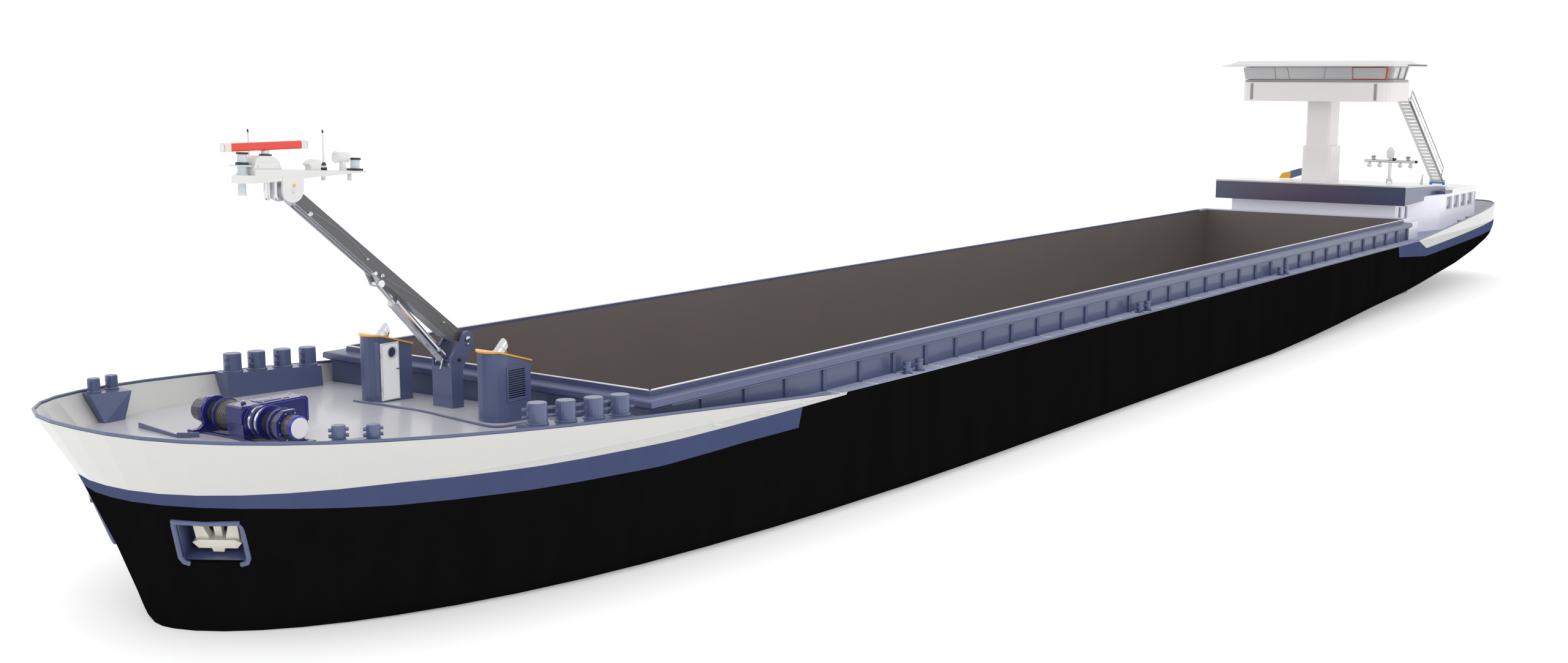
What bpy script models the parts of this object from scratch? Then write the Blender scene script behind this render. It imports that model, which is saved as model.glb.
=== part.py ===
# River barge: a motor dry-cargo vessel for inland waters, built as a 1:2 scale model.
# Every size below is the real vessel's, in metres. The ship frame, an empty, scales them to the model.
# Ship frame: x = 0 at the hold's front inner edge with +X to the bow, y = 0 on the centreline with
# +Y to port, z = 0 at the flat bottom.

import bpy
import bmesh
from math import atan2, cos, degrees, hypot, pi, radians, sin, sqrt
from mathutils import Matrix, Vector

# Scale and fits
MODEL_SCALE = 0.5
GAP = 0.0006
SLIDE = 0.0015
BURY = 0.02

# Hull
HALF_BEAM = 5.725
DECK_Z = 2.9
BOW_END = 9.9553
STERN_END = -65.5
BOW_START = -12.0
BOW_TAPER = 0.04
BILGE = 0.5
BULWARK_WALL = 0.05
RAIL_R = 0.032
RAIL_SEAT = 0.0313
BOW_RAIL_Z = 3.345
BOW_RAIL_SLOPE = 0.072
STERN_RAIL_Z = 2.956
STERN_RAIL_SLOPE = 0.053
STERN_RAIL_START = -50.3

# Hold and coaming
HOLD_LENGTH = 51.94
HOLD_HALF = 4.79
HOLD_FLOOR = 0.45
PLATE = 0.06
COAMING_TOP = 3.76
STAY_PITCH = 1.492
STAY_COUNT = 34

# Foredeck: two planes that meet in a ridge on the centreline
FOREDECK_Z = 3.0
FOREDECK_SHEER = 0.045
FOREDECK_CAMBER = 0.02
FOREDECK_START = 0.31

# Bow mast, as (x, z)
MAST_PIVOT = (0.895, 4.536)
HEAD_PIVOT = (5.237, 8.022)
HEAD_TILT = 3.2
CYLINDER_FOOT = (1.30, 4.09)
ROD_EYE = (3.07, 5.95)
BOOM_HALF = 0.17
PEDESTAL_HALF = 0.31
SCANNER = (5.666, 8.88)

# Winch shaft
WINCH_X = 6.40
WINCH_Z = 3.655
WINCH_SUPPORTS = (-1.04, 1.33)
GEARBOX_X = (5.19, 6.75)
GEARBOX_Y = (-0.13, 0.36)
GEARBOX_TOP = 3.955

# Bow houses
HOUSE_AFT = 0.907
HOUSE_FRONT = 1.565
HOUSE_LEVEL = 1.76
HOUSE_INNER = 1.5
HOUSE_OUTER = 2.25
HOUSE_TOP = 4.515
HOUSE_TOP_AFT = 4.256
HOUSE_WALL = 0.05
DOOR_X = (1.305, 1.80)
DOOR_Z = (3.08, 4.36)
DOOR_LIGHT = (1.505, 4.143, 0.11)
GRILLE_X = (1.035, 1.60)
GRILLE_Z = (3.48, 4.20)
GRILLE_SLOTS = 13

# Deckhouse and its roof
WALL_TOP = 4.55
ROOF_HALF = 4.5
ROOF_FRONT = -52.1
ROOF_AFT = -62.85
AFT_HALF = 4.79
AFT_ROOF_Z = 4.69

# Wheelhouse and its two-stage lift
TRAY_X = (-55.1, -52.1)
TRAY_HALF = 3.5
TRAY_Z = 8.95
SILL_Z = 9.82
ROOF_Z = 10.55
SLEEVE_X = (-54.5, -53.0)
SLEEVE_HALF = 0.68
COLUMN_X = (-54.42, -53.08)
COLUMN_HALF = 0.57
SLEEVE_TOP = 6.85

# Stairs, as (x, z)
STAIR_TOP = (-55.25, 9.0)
STAIR_FOOT = (-61.5, 4.90)
STAIR_Y = (2.97, 3.5)
STAIR_TREADS = 24
STAIR_EARS = (3.06, 3.41)

# Aft mast, crane
AFT_MAST = (-59.2, 1.57)
AFT_MAST_HINGE_Z = 5.0
CRANE = (-58.0, -0.9)
CRANE_HINGE_Z = 5.78

# Propulsion
SHAFT_Z = 0.92
PROP_X = -60.3
PROP_R = 0.75
TUNNEL_R = 0.95
RUDDER_X = -61.85
RUDDER_Y = 0.55

COLOURS = {
    "hull_black": ((0.012, 0.012, 0.013), 0.35, 0.0),
    "hold_brown": ((0.10, 0.08, 0.07), 0.8, 0.0),
    "deck_blue": ((0.085, 0.11, 0.21), 0.35, 0.0),
    "deck_grey": ((0.55, 0.55, 0.55), 0.25, 0.0),
    "white": ((0.80, 0.80, 0.80), 0.35, 0.0),
    "winch_navy": ((0.02, 0.02, 0.11), 0.35, 0.3),
    "chrome": ((0.55, 0.55, 0.57), 0.2, 1.0),
    "yellow": ((0.86, 0.43, 0.02), 0.4, 0.0),
    "red": ((0.72, 0.05, 0.03), 0.4, 0.0),
    "cream": ((0.66, 0.63, 0.54), 0.5, 0.0),
    "dark": ((0.03, 0.03, 0.035), 0.4, 0.0),
    "bronze": ((0.55, 0.33, 0.12), 0.35, 1.0),
}


# Scene helpers

def clear_scene():
    for item in list(bpy.data.objects):
        bpy.data.objects.remove(item, do_unlink=True)


def material(name):
    found = bpy.data.materials.get(name)
    if found:
        return found
    colour, roughness, metallic = COLOURS[name]
    made = bpy.data.materials.new(name)
    made.use_nodes = True
    shader = made.node_tree.nodes["Principled BSDF"]
    shader.inputs["Base Color"].default_value = (*colour, 1.0)
    shader.inputs["Roughness"].default_value = roughness
    shader.inputs["Metallic"].default_value = metallic
    return made


def own_material(node, name):
    base = material(name)
    made = base.copy()
    made.name = node
    return made


def link(item):
    bpy.context.scene.collection.objects.link(item)
    return item


def to_mesh(bm, name):
    bmesh.ops.remove_doubles(bm, verts=bm.verts, dist=0.0001)
    bmesh.ops.recalc_face_normals(bm, faces=bm.faces)
    mesh = bpy.data.meshes.new(name)
    bm.to_mesh(mesh)
    bm.free()
    return mesh


def combine(base, tools, operation):
    # The base solid with every tool solid joined to it, or cut from it
    body = link(bpy.data.objects.new("body", to_mesh(base, "body")))
    guides = []
    for tool in tools:
        guide = link(bpy.data.objects.new("guide", to_mesh(tool, "guide")))
        guide.hide_render = True
        guide.display_type = "WIRE"
        step = body.modifiers.new("combine", "BOOLEAN")
        step.operation = operation
        step.solver = "EXACT"
        step.object = guide
        guides.append(guide)
    view = bpy.context.evaluated_depsgraph_get()
    done = bpy.data.meshes.new_from_object(body.evaluated_get(view))
    result = bmesh.new()
    result.from_mesh(done)
    for item in [body] + guides:
        bpy.data.objects.remove(item, do_unlink=True)
    return result


def fuse(solids):
    return combine(solids[0], solids[1:], "UNION")


def without_crumbs(bm):
    # Keeps the largest connected piece, because a cut can leave a chip at a corner
    left = set(bm.verts)
    pieces = []
    while left:
        piece = {left.pop()}
        edge_of = list(piece)
        while edge_of:
            for edge in edge_of.pop().link_edges:
                for vert in edge.verts:
                    if vert not in piece:
                        piece.add(vert)
                        edge_of.append(vert)
        left -= piece
        pieces.append(piece)
    pieces.sort(key=len)
    chips = [vert for piece in pieces[:-1] for vert in piece]
    bmesh.ops.delete(bm, geom=chips, context="VERTS")
    return bm


def cut(base, tools):
    return combine(base, tools, "DIFFERENCE")


def together(solids):
    # Solids that don't touch, in one mesh, to serve as one tool
    result = bmesh.new()
    for solid in solids:
        mesh = to_mesh(solid, "piece")
        result.from_mesh(mesh)
        bpy.data.meshes.remove(mesh)
    return result


def node(name, solid, colour, frame, pivot=(0.0, 0.0, 0.0)):
    # A named piece whose origin is its pivot, given like the mesh in ship coordinates
    mesh = to_mesh(solid, name)
    mesh.transform(Matrix.Translation(-Vector(pivot)))
    mesh.materials.append(own_material(name, colour))
    mesh.shade_smooth()
    mesh.set_sharp_from_angle(angle=radians(32))
    item = link(bpy.data.objects.new(name, mesh))
    item.parent = frame
    item.location = pivot
    return item


# Solids

def loft(rings, closed=False):
    # Skin through rings of equal length, with end caps unless it closes on itself
    bm = bmesh.new()
    rows = [[bm.verts.new(point) for point in ring] for ring in rings]
    count = len(rows[0])
    spans = list(zip(rows, rows[1:]))
    if closed:
        spans.append((rows[-1], rows[0]))
    for near, far in spans:
        for i in range(count):
            j = (i + 1) % count
            bm.faces.new((near[i], near[j], far[j], far[i]))
    if not closed:
        bm.faces.new(rows[0])
        bm.faces.new(rows[-1])
    return bm


def block(x, y, z):
    bm = bmesh.new()
    size = Matrix.Diagonal((x[1] - x[0], y[1] - y[0], z[1] - z[0], 1.0))
    middle = Vector((x[0] + x[1], y[0] + y[1], z[0] + z[1])) / 2
    bmesh.ops.create_cube(bm, size=1.0, matrix=Matrix.Translation(middle) @ size)
    return bm


def prism(outline, axis, start, end):
    # An outline extruded along an axis. It is (x, y) for z, (x, z) for y and (y, z) for x
    def place(a, b, level):
        if axis == "z":
            return (a, b, level)
        if axis == "y":
            return (a, level, b)
        return (level, a, b)
    rings = [[place(a, b, level) for a, b in outline] for level in (start, end)]
    return loft(rings)


def bar(start, end, radius, sides=12, end_radius=None):
    first, last = Vector(start), Vector(end)
    run = last - first
    turn = run.to_track_quat("Z", "Y").to_matrix().to_4x4()
    bm = bmesh.new()
    bmesh.ops.create_cone(
        bm, cap_ends=True, segments=sides, radius1=radius,
        radius2=radius if end_radius is None else end_radius, depth=run.length,
        matrix=Matrix.Translation((first + last) / 2) @ turn)
    return bm


def turned(profile, origin, axis, sides=24):
    # A profile of (along, radius) turned about an axis through the origin
    turn = Vector(axis).to_track_quat("Z", "Y").to_matrix()
    rings = []
    for along, radius in profile:
        ring = []
        for k in range(sides):
            angle = 2 * pi * k / sides
            local = Vector((radius * cos(angle), radius * sin(angle), along))
            ring.append(Vector(origin) + turn @ local)
        rings.append(ring)
    return rings


def turned_solid(profile, origin, axis, sides=24):
    return loft(turned(profile, origin, axis, sides))


def turned_ring(profile, origin, axis, sides=24):
    return loft(turned(profile, origin, axis, sides), closed=True)


def arc(centre, radius, first, last, steps):
    points = []
    for k in range(steps + 1):
        angle = radians(first + (last - first) * k / steps)
        points.append((centre[0] + radius * cos(angle), centre[1] + radius * sin(angle)))
    return points


def tube(points, radius, sides=8):
    # A round tube along a bent path, with mitred bends
    path = [Vector(point) for point in points]
    rings = []
    side = None
    for i, point in enumerate(path):
        back = (point - path[i - 1]).normalized() if i else None
        ahead = (path[i + 1] - point).normalized() if i + 1 < len(path) else None
        if back is None:
            along = ahead
        elif ahead is None:
            along = back
        else:
            along = (back + ahead).normalized()
        if side is None:
            side = Vector((0.0, 0.0, 1.0)).cross(along)
            side = side.normalized() if side.length > 0.1 else along.orthogonal().normalized()
        side = (side - along * side.dot(along)).normalized()
        up = along.cross(side)
        stretch = 1.0
        if back is not None and ahead is not None:
            stretch = 1.0 / max(0.3, along.dot(ahead))
            bend = (ahead - back)
            bend = bend - along * bend.dot(along)
            bend = bend.normalized() if bend.length > 1e-6 else None
        else:
            bend = None
        ring = []
        for k in range(sides):
            angle = 2 * pi * (k + 0.5) / sides
            offset = (side * cos(angle) + up * sin(angle)) * radius
            if bend is not None:
                offset += bend * offset.dot(bend) * (stretch - 1.0)
            ring.append(point + offset)
        rings.append(ring)
    return loft(rings)


def moved(bm, matrix):
    bmesh.ops.transform(bm, matrix=matrix, verts=bm.verts)
    return bm


# Hull form

# Bow levels: height, stem x, fullness, roundness of the waterline there
BOW_LEVELS = (
    (0.0, 8.45, 3.2, 1.80),
    (0.5, 8.60, 3.25, 1.82),
    (1.5, 8.90, 3.6, 1.95),
    (2.9, 9.40, 4.3, 2.20),
)
RAIL_LEVEL = (9.95, 5.2, 2.5)

# Fractions of the way from the bow's start to the stem where a section lies
BOW_FRACTIONS = (
    0.14, 0.30, 0.40, 0.50, 0.59, 0.67, 0.74, 0.80, 0.85, 0.89, 0.925, 0.953, 0.975, 0.99, 0.998, 1.0)
BULWARK_FIRST = 1

# Sections from the transom forward: x, half breadth, bottom height, bilge radius
AFT_SECTIONS = (
    (-65.50, 4.10, 2.40, 0.50),
    (-65.42, 4.60, 2.40, 0.50),
    (-65.15, 4.98, 2.38, 0.52),
    (-64.50, 5.30, 2.09, 0.64),
    (-63.40, 5.47, 1.73, 0.83),
    (-61.00, 5.62, 1.29, 1.14),
    (-58.00, 5.68, 0.84, 1.37),
    (-55.00, 5.71, 0.51, 1.60),
    (-52.00, 5.725, 0.28, 1.60),
    (-47.00, 5.725, 0.14, 1.44),
    (-42.00, 5.725, 0.05, 1.06),
    (-38.00, 5.725, 0.01, 0.76),
    (-34.00, 5.725, 0.0, 0.50),
    (-12.00, 5.725, 0.0, 0.50),
)
BILGE_ANGLES = (0.0, 22.5, 45.0, 67.5, 90.0)


def level_at(height):
    for low, high in zip(BOW_LEVELS, BOW_LEVELS[1:]):
        if height <= high[0]:
            part = (height - low[0]) / (high[0] - low[0])
            return [a + (b - a) * part for a, b in zip(low[1:], high[1:])]
    return list(BOW_LEVELS[-1][1:])


def bow_point(fraction, level, breadth):
    # The place on one waterline of the bow at a fraction of its length
    stem, fullness, roundness = level
    x = BOW_START + fraction * (stem - BOW_START)
    ease = min(1.0, (x - BOW_START) / 12.0)
    narrow = 1.0 - BOW_TAPER * ease * ease * (3.0 - 2.0 * ease)
    y = breadth * narrow * max(0.0, 1.0 - fraction ** fullness) ** (1.0 / roundness)
    return x, y


def bow_rail_z(x):
    return BOW_RAIL_Z + BOW_RAIL_SLOPE * x


def stern_rail_z(x):
    return STERN_RAIL_Z + STERN_RAIL_SLOPE * (STERN_RAIL_START - x)


def foredeck_z(x, y):
    return FOREDECK_Z + FOREDECK_SHEER * x - FOREDECK_CAMBER * abs(y)


def full_ring(half_ring):
    # A port half section, bottom centre first and deck centre last, closed by its mirror
    mirror = [(x, -y, z) for x, y, z in reversed(half_ring[1:-1])]
    return half_ring + mirror


def aft_ring(x, half, bottom, bilge):
    ring = [(x, 0.0, bottom)]
    for angle in BILGE_ANGLES:
        turn = radians(angle)
        ring.append((x, half - bilge * (1 - sin(turn)), bottom + bilge * (1 - cos(turn))))
    side_low = bottom + bilge
    for part in (0.4, 0.75, 1.0):
        ring.append((x, half, side_low + (DECK_Z - side_low) * part))
    ring.append((x, 0.0, DECK_Z))
    return full_ring(ring)


def bow_ring(fraction):
    points = []
    for angle in BILGE_ANGLES:
        turn = radians(angle)
        height = BILGE * (1 - cos(turn))
        points.append((*bow_point(fraction, level_at(height), HALF_BEAM - BILGE * (1 - sin(turn))), height))
    for height in (1.46, 2.3, DECK_Z):
        points.append((*bow_point(fraction, level_at(height), HALF_BEAM), height))
    first, last = points[0], points[-1]
    ring = [(first[0], 0.0, first[2])] + points + [(last[0], 0.0, last[2])]
    return full_ring(ring)


def offset_path(path, distance):
    # A plan path moved to its right-hand side, mitred at its corners
    moved_path = []
    for i, point in enumerate(path):
        before = path[i - 1] if i else None
        after = path[i + 1] if i + 1 < len(path) else None
        sides = []
        for start, end in ((before, point), (point, after)):
            if start is None or end is None:
                continue
            run = hypot(end[0] - start[0], end[1] - start[1])
            sides.append(((end[1] - start[1]) / run, -(end[0] - start[0]) / run))
        nx = sum(side[0] for side in sides)
        ny = sum(side[1] for side in sides)
        size = hypot(nx, ny)
        nx, ny = nx / size, ny / size
        reach = distance / max(0.4, nx * sides[0][0] + ny * sides[0][1])
        moved_path.append((point[0] + nx * reach, point[1] + ny * reach))
    return moved_path


def around_bow(level, first):
    # The plan line of a bow level, from the port side round the stem to starboard
    port = [bow_point(fraction, level, HALF_BEAM) for fraction in BOW_FRACTIONS[first:]]
    return port + [(x, -y) for x, y in reversed(port[:-1])]


def around_stern():
    half = [section[:2] for section in AFT_SECTIONS if section[0] < STERN_RAIL_START]
    half.append((STERN_RAIL_START, HALF_BEAM))
    starboard = [(x, -y) for x, y in reversed(half)]
    return starboard + half


# Anchor pockets: an upright frame on the flared bow

POCKET_CENTRE = (8.44, 1.68, 1.90)
POCKET_HEADING = 33.4
POCKET_LEAN = 20.0
POCKET_HALF = (0.60, 0.43)
POCKET_DEPTH = 0.52
FRAME_R = 0.05


def pocket_matrix(side):
    # Local +X leaves the hull, +Y runs aft along it and +Z up it, on the port side
    place = Matrix.Translation((POCKET_CENTRE[0], side * POCKET_CENTRE[1], POCKET_CENTRE[2]))
    heading = Matrix.Rotation(radians(side * POCKET_HEADING), 4, "Z")
    lean = Matrix.Rotation(radians(POCKET_LEAN), 4, "Y")
    return place @ heading @ lean


def pocket_frame(side, extra):
    half_y, half_z = POCKET_HALF
    y, z, turn = half_y + 0.03, half_z + 0.03, 0.10
    end_y, end_z = y - 0.16 - 3.8 * extra, -z - 0.02 - 1.4 * extra
    path = [(0.0, -end_y, end_z), (0.0, -y + 0.05, -z + 0.02), (0.0, -y, -z + 0.12)]
    corner = [(turn * (1 - cos(radians(a))), turn * (1 - sin(radians(a)))) for a in (0, 45, 90)]
    path += [(0.0, -y + inward, z - down) for inward, down in corner]
    path += [(0.0, y - inward, z - down) for inward, down in reversed(corner)]
    path += [(0.0, y, -z + 0.12), (0.0, y - 0.05, -z + 0.02), (0.0, end_y, end_z)]
    return moved(tube(path, FRAME_R + extra, 8), pocket_matrix(side))


def anchor(side):
    back = -POCKET_DEPTH + 2 * GAP
    crown = [(-0.34, -0.10), (-0.46, -0.16), (-0.36, -0.28), (-0.12, -0.28), (-0.10, -0.36),
             (0.10, -0.36), (0.12, -0.28), (0.36, -0.28), (0.46, -0.16), (0.34, -0.10)]
    solids = [prism(crown, "x", back, back + 0.30)]
    for hand in (-1, 1):
        fluke = [(hand * 0.12, -0.20), (hand * 0.40, -0.20), (hand * 0.42, 0.38), (hand * 0.30, 0.38)]
        solids.append(prism(fluke, "x", back + 0.08, back + 0.24))
    solids.append(block((back + 0.05, back + 0.17), (-0.07, 0.07), (-0.22, 0.40)))
    return moved(fuse(solids), pocket_matrix(side))


def hull():
    rings = [aft_ring(*section) for section in AFT_SECTIONS]
    rings += [bow_ring(fraction) for fraction in BOW_FRACTIONS]
    outside = PLATE + GAP
    hold = block((-HOLD_LENGTH - outside, outside), (-HOLD_HALF - outside, HOLD_HALF + outside),
                 (HOLD_FLOOR - PLATE - GAP, DECK_Z + 1.0))
    well = block((SLEEVE_X[0] - 0.15, SLEEVE_X[1] + 0.15), (-SLEEVE_HALF - 0.15, SLEEVE_HALF + 0.15),
                 (0.9, DECK_Z + 1.0))
    tunnel = turned_solid(
        [(0.0, TUNNEL_R), (7.3, TUNNEL_R), (7.9, TUNNEL_R * 0.8), (8.3, TUNNEL_R * 0.35)],
        (STERN_END - 0.5, 0.0, SHAFT_Z), (1.0, 0.0, 0.0), 24)
    shaft_bore = bar((-58.2, 0.0, SHAFT_Z), (-56.8, 0.0, SHAFT_Z), 0.10, 16)
    tools = [hold, well, tunnel, shaft_bore]
    for side in (1, -1):
        tools.append(bar((RUDDER_X, side * RUDDER_Y, 1.2), (RUDDER_X, side * RUDDER_Y, 2.26), 0.0618, 16))
        half_y, half_z = POCKET_HALF
        pocket = block((-POCKET_DEPTH, 1.0), (-half_y, half_y), (-half_z, half_z))
        tools.append(moved(pocket, pocket_matrix(side)))
        tools.append(pocket_frame(side, 0.0018))
    return without_crumbs(cut(loft(rings), tools))


def hold_plating():
    outer = block((-HOLD_LENGTH - PLATE, PLATE), (-HOLD_HALF - PLATE, HOLD_HALF + PLATE),
                  (HOLD_FLOOR - PLATE, COAMING_TOP - PLATE))
    inner = block((-HOLD_LENGTH, 0.0), (-HOLD_HALF, HOLD_HALF), (HOLD_FLOOR, COAMING_TOP + 1.0))
    return cut(outer, [inner])


# Coaming profile, bottom inside first: distance out from the hold's edge, height
COAMING_PROFILE = (
    (PLATE + GAP, DECK_Z + GAP),
    (PLATE + GAP, COAMING_TOP - PLATE + GAP),
    (0.0, COAMING_TOP - PLATE + GAP),
    (0.0, COAMING_TOP),
    (0.055, COAMING_TOP),
    (0.055, COAMING_TOP - 0.10),
    (0.42, COAMING_TOP - 0.12),
    (0.45, COAMING_TOP - 0.15),
    (0.45, COAMING_TOP - 0.26),
    (0.30, COAMING_TOP - 0.33),
    (0.30, DECK_Z + GAP),
)
STAY_R = 0.085
# The side coaming's lip ends here, in a plain white wall
LIP_END = -50.9
WALL_OUT = 0.30


def hatch_coaming():
    corners = ((0.0, HOLD_HALF, 1, 1), (-HOLD_LENGTH, HOLD_HALF, -1, 1),
               (-HOLD_LENGTH, -HOLD_HALF, -1, -1), (0.0, -HOLD_HALF, 1, -1))
    rings = [[(x + out * across, y + out * along, z) for out, z in COAMING_PROFILE]
             for x, y, across, along in corners]
    ring = loft(rings, closed=True)
    top = COAMING_TOP - 0.30
    stays = []
    for side in (1, -1):
        y = side * (HOLD_HALF + WALL_OUT)
        for k in range(STAY_COUNT):
            x = -STAY_PITCH * (k + 0.90)
            stays.append(bar((x, y, DECK_Z + GAP), (x, y, top), STAY_R, 6))
        for x, way in ((WALL_OUT, 1), (-HOLD_LENGTH - WALL_OUT, -1)):
            for offset in (1.1, 2.5, 3.9):
                low = foredeck_z(x + STAY_R, offset) + 0.01 if way > 0 else DECK_Z + GAP
                stays.append(bar((x, side * offset, low), (x, side * offset, top), STAY_R, 6))
    aft = -HOLD_LENGTH - 2.0
    ends = []
    for side in (1, -1):
        wall, corner = side * (HOLD_HALF + WALL_OUT), side * (HOLD_HALF - 0.4)
        ends.append(block((aft, LIP_END), sorted((wall + side * 0.001, side * 6.0)), (3.2, 4.0)))
        ends.append(block((aft, -HOLD_LENGTH - WALL_OUT - 0.001), sorted((corner, side * 6.0)), (3.2, 4.0)))
    return cut(fuse([ring, together(stays)]), ends)


def bulwark_lines(out):
    # Deck line and rail line of the bow bulwark, moved in from the outer skin
    deck = offset_path(around_bow(BOW_LEVELS[-1][1:], BULWARK_FIRST), out)
    rail = offset_path(around_bow(RAIL_LEVEL, BULWARK_FIRST), out)
    return deck, rail


def bow_bulwark():
    outer_deck, outer_rail = bulwark_lines(0.0)
    inner_deck, inner_rail = bulwark_lines(BULWARK_WALL)
    middle = bulwark_lines(BULWARK_WALL / 2)[1]
    rings = []
    for a, b, c, d, e in zip(outer_deck, outer_rail, inner_rail, inner_deck, middle):
        top = bow_rail_z(e[0]) - RAIL_SEAT
        rings.append([(*a, DECK_Z + GAP), (*b, top), (*c, top), (*d, DECK_Z + GAP)])
    return loft(rings)


def at_station(line, x):
    # The half breadth where a plan line passes a place along the bow
    for near, far in zip(line, line[1:]):
        if far[0] >= x >= near[0]:
            return near[1] + (far[1] - near[1]) * (x - near[0]) / (far[0] - near[0])
    return 0.0


def foredeck():
    # Both deck planes, out to the leaning inner face of the bulwark
    deck, rail = bulwark_lines(BULWARK_WALL + 0.008)
    start = FOREDECK_START
    pairs = [((start, at_station(deck, start)), (start, at_station(rail, start)))]
    pairs += [pair for pair in zip(deck, rail) if pair[0][0] > start + 0.1 and pair[0][1] >= 0]
    low = DECK_Z + GAP
    rings = []
    for (dx, dy), (rx, ry) in pairs:
        rise = bow_rail_z(rx) - DECK_Z
        slope = FOREDECK_SHEER * (rx - dx) - FOREDECK_CAMBER * (ry - dy)
        part = (foredeck_z(dx, dy) - DECK_Z) / (rise - slope)
        x, y = dx + (rx - dx) * part, dy + (ry - dy) * part
        z = foredeck_z(x, y)
        rings.append([(dx, dy, low), (x, y, z), (x, 0.0, foredeck_z(x, 0.0)), (x, -y, z), (dx, -dy, low)])
    return loft(rings)


def rail_path(line, height):
    return [(x, y, height(x)) for x, y in line]


def bow_rail():
    line = offset_path(around_bow(RAIL_LEVEL, BULWARK_FIRST), BULWARK_WALL / 2)
    return tube(rail_path(line, bow_rail_z), RAIL_R)


def stern_bulwark():
    outer = around_stern()
    inner = offset_path(outer, BULWARK_WALL)
    middle = offset_path(outer, RAIL_R)
    rings = []
    for a, b, c in zip(outer, inner, middle):
        top = stern_rail_z(c[0]) - RAIL_SEAT
        rings.append([(*a, DECK_Z + GAP), (*a, top), (*b, top), (*b, DECK_Z + GAP)])
    return loft(rings)


def stern_rail():
    return tube(rail_path(offset_path(around_stern(), RAIL_R), stern_rail_z), RAIL_R)


# Bollards: x and y of each post, radius and height
LARGE_BOLLARDS = ((3.28, 4.805), (2.58, 4.885), (1.84, 4.935), (1.105, 4.965))
BOLLARD_R = 0.20
BOLLARD_HEIGHT = 0.43
SMALL_BOLLARDS = ((7.235, 3.86), (6.68, 4.12))
PIN_TURN = 26
SMALL_BOLLARD_R = 0.125
SMALL_BOLLARD_HEIGHT = 0.30


def bulwark_y(x, z):
    # Half breadth of the bulwark's inner face, with a little room, at a place and height
    deck, rail = bulwark_lines(BULWARK_WALL)
    low, high = at_station(deck, x), at_station(rail, x)
    return low + (high - low) * (z - DECK_Z) / (bow_rail_z(x) - DECK_Z) - 0.02


def plinth_block(side, corners, rise):
    # A box between the deck and the rail. Corners: x and y at the deck, x and y at the top
    rings = []
    for foot_x, foot_y, top_x, top_y in corners:
        outer_foot = bulwark_y(foot_x, foredeck_z(foot_x, foot_y))
        z = bow_rail_z(top_x) + rise
        rings.append([(foot_x, side * foot_y, foredeck_z(foot_x, foot_y) + GAP),
                      (foot_x, side * outer_foot, foredeck_z(foot_x, outer_foot) + GAP),
                      (top_x, side * bulwark_y(top_x, z), z), (top_x, side * top_y, z)])
    return loft(rings)


def bollards(side, corners, rise, spots, radius, height, pin):
    solids = [plinth_block(side, corners, rise)]
    for x, y in spots:
        profile = [(0.0, radius * 1.14), (BURY + 0.03, radius * 1.14), (BURY + 0.05, radius),
                   (BURY + height - 0.02, radius), (BURY + height, radius * 0.92)]
        solids.append(turned_solid(profile, (x, side * y, bow_rail_z(x) + rise - BURY), (0.0, 0.0, 1.0), 20))
    across, along = sin(radians(PIN_TURN)), cos(radians(PIN_TURN))
    for x, y in spots:
        for share in (0.36, 0.72):
            z = bow_rail_z(x) + rise + height * share
            reach = radius + pin
            solids.append(bar((x - reach * along, side * (y + reach * across), z),
                              (x + reach * along, side * (y - reach * across), z), 0.034, 8))
    return fuse(solids)


def large_bollards(side):
    corners = ((0.92, 4.66, 0.92, 4.70), (2.2, 4.62, 2.2, 4.65), (3.60, 4.53, 3.60, 4.56))
    return bollards(side, corners, 0.02, LARGE_BOLLARDS, BOLLARD_R, BOLLARD_HEIGHT, 0.10)


def small_bollards(side):
    corners = ((6.75, 3.58, 6.47, 3.74), (7.30, 3.42, 7.45, 3.66))
    return bollards(side, corners, -0.03, SMALL_BOLLARDS, SMALL_BOLLARD_R, SMALL_BOLLARD_HEIGHT, 0.05)


# Bow houses

def house_outline(side, grow):
    # Flat rear, round front: plan points from the rear inner corner
    middle = (HOUSE_INNER + HOUSE_OUTER) / 2
    radius = (HOUSE_OUTER - HOUSE_INNER) / 2 + grow
    rear = HOUSE_AFT - grow
    points = [(rear, middle - radius)]
    points += arc((HOUSE_FRONT, middle), radius, -90, 90, 10)
    points.append((rear, middle + radius))
    return [(x, side * y) for x, y in points]


def roofline(lift):
    # The roof's side line: sloped aft, level forward
    fall = (HOUSE_TOP - HOUSE_TOP_AFT) / (HOUSE_LEVEL - HOUSE_AFT)
    aft = HOUSE_AFT - 0.5
    top = HOUSE_TOP + lift
    return [(aft, HOUSE_TOP_AFT - 0.5 * fall + lift), (HOUSE_LEVEL, top), (HOUSE_LEVEL + 1.0, top)]


def above_roof(lift):
    line = roofline(lift)
    return prism(line + [(line[-1][0], 6.0), (line[0][0], 6.0)], "y", -3.0, 3.0)


def below_roof(lift):
    line = roofline(lift)
    return prism(line + [(line[-1][0], 2.0), (line[0][0], 2.0)], "y", -3.0, 3.0)


def house_solid(side, grow, lift, drop):
    # From the deck up to the roof line
    low = [(x, y, foredeck_z(x, y) + drop) for x, y in house_outline(side, grow)]
    high = [(x, y, HOUSE_TOP + 0.3) for x, y in house_outline(side, grow)]
    return cut(loft([low, high]), [above_roof(lift)])


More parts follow.
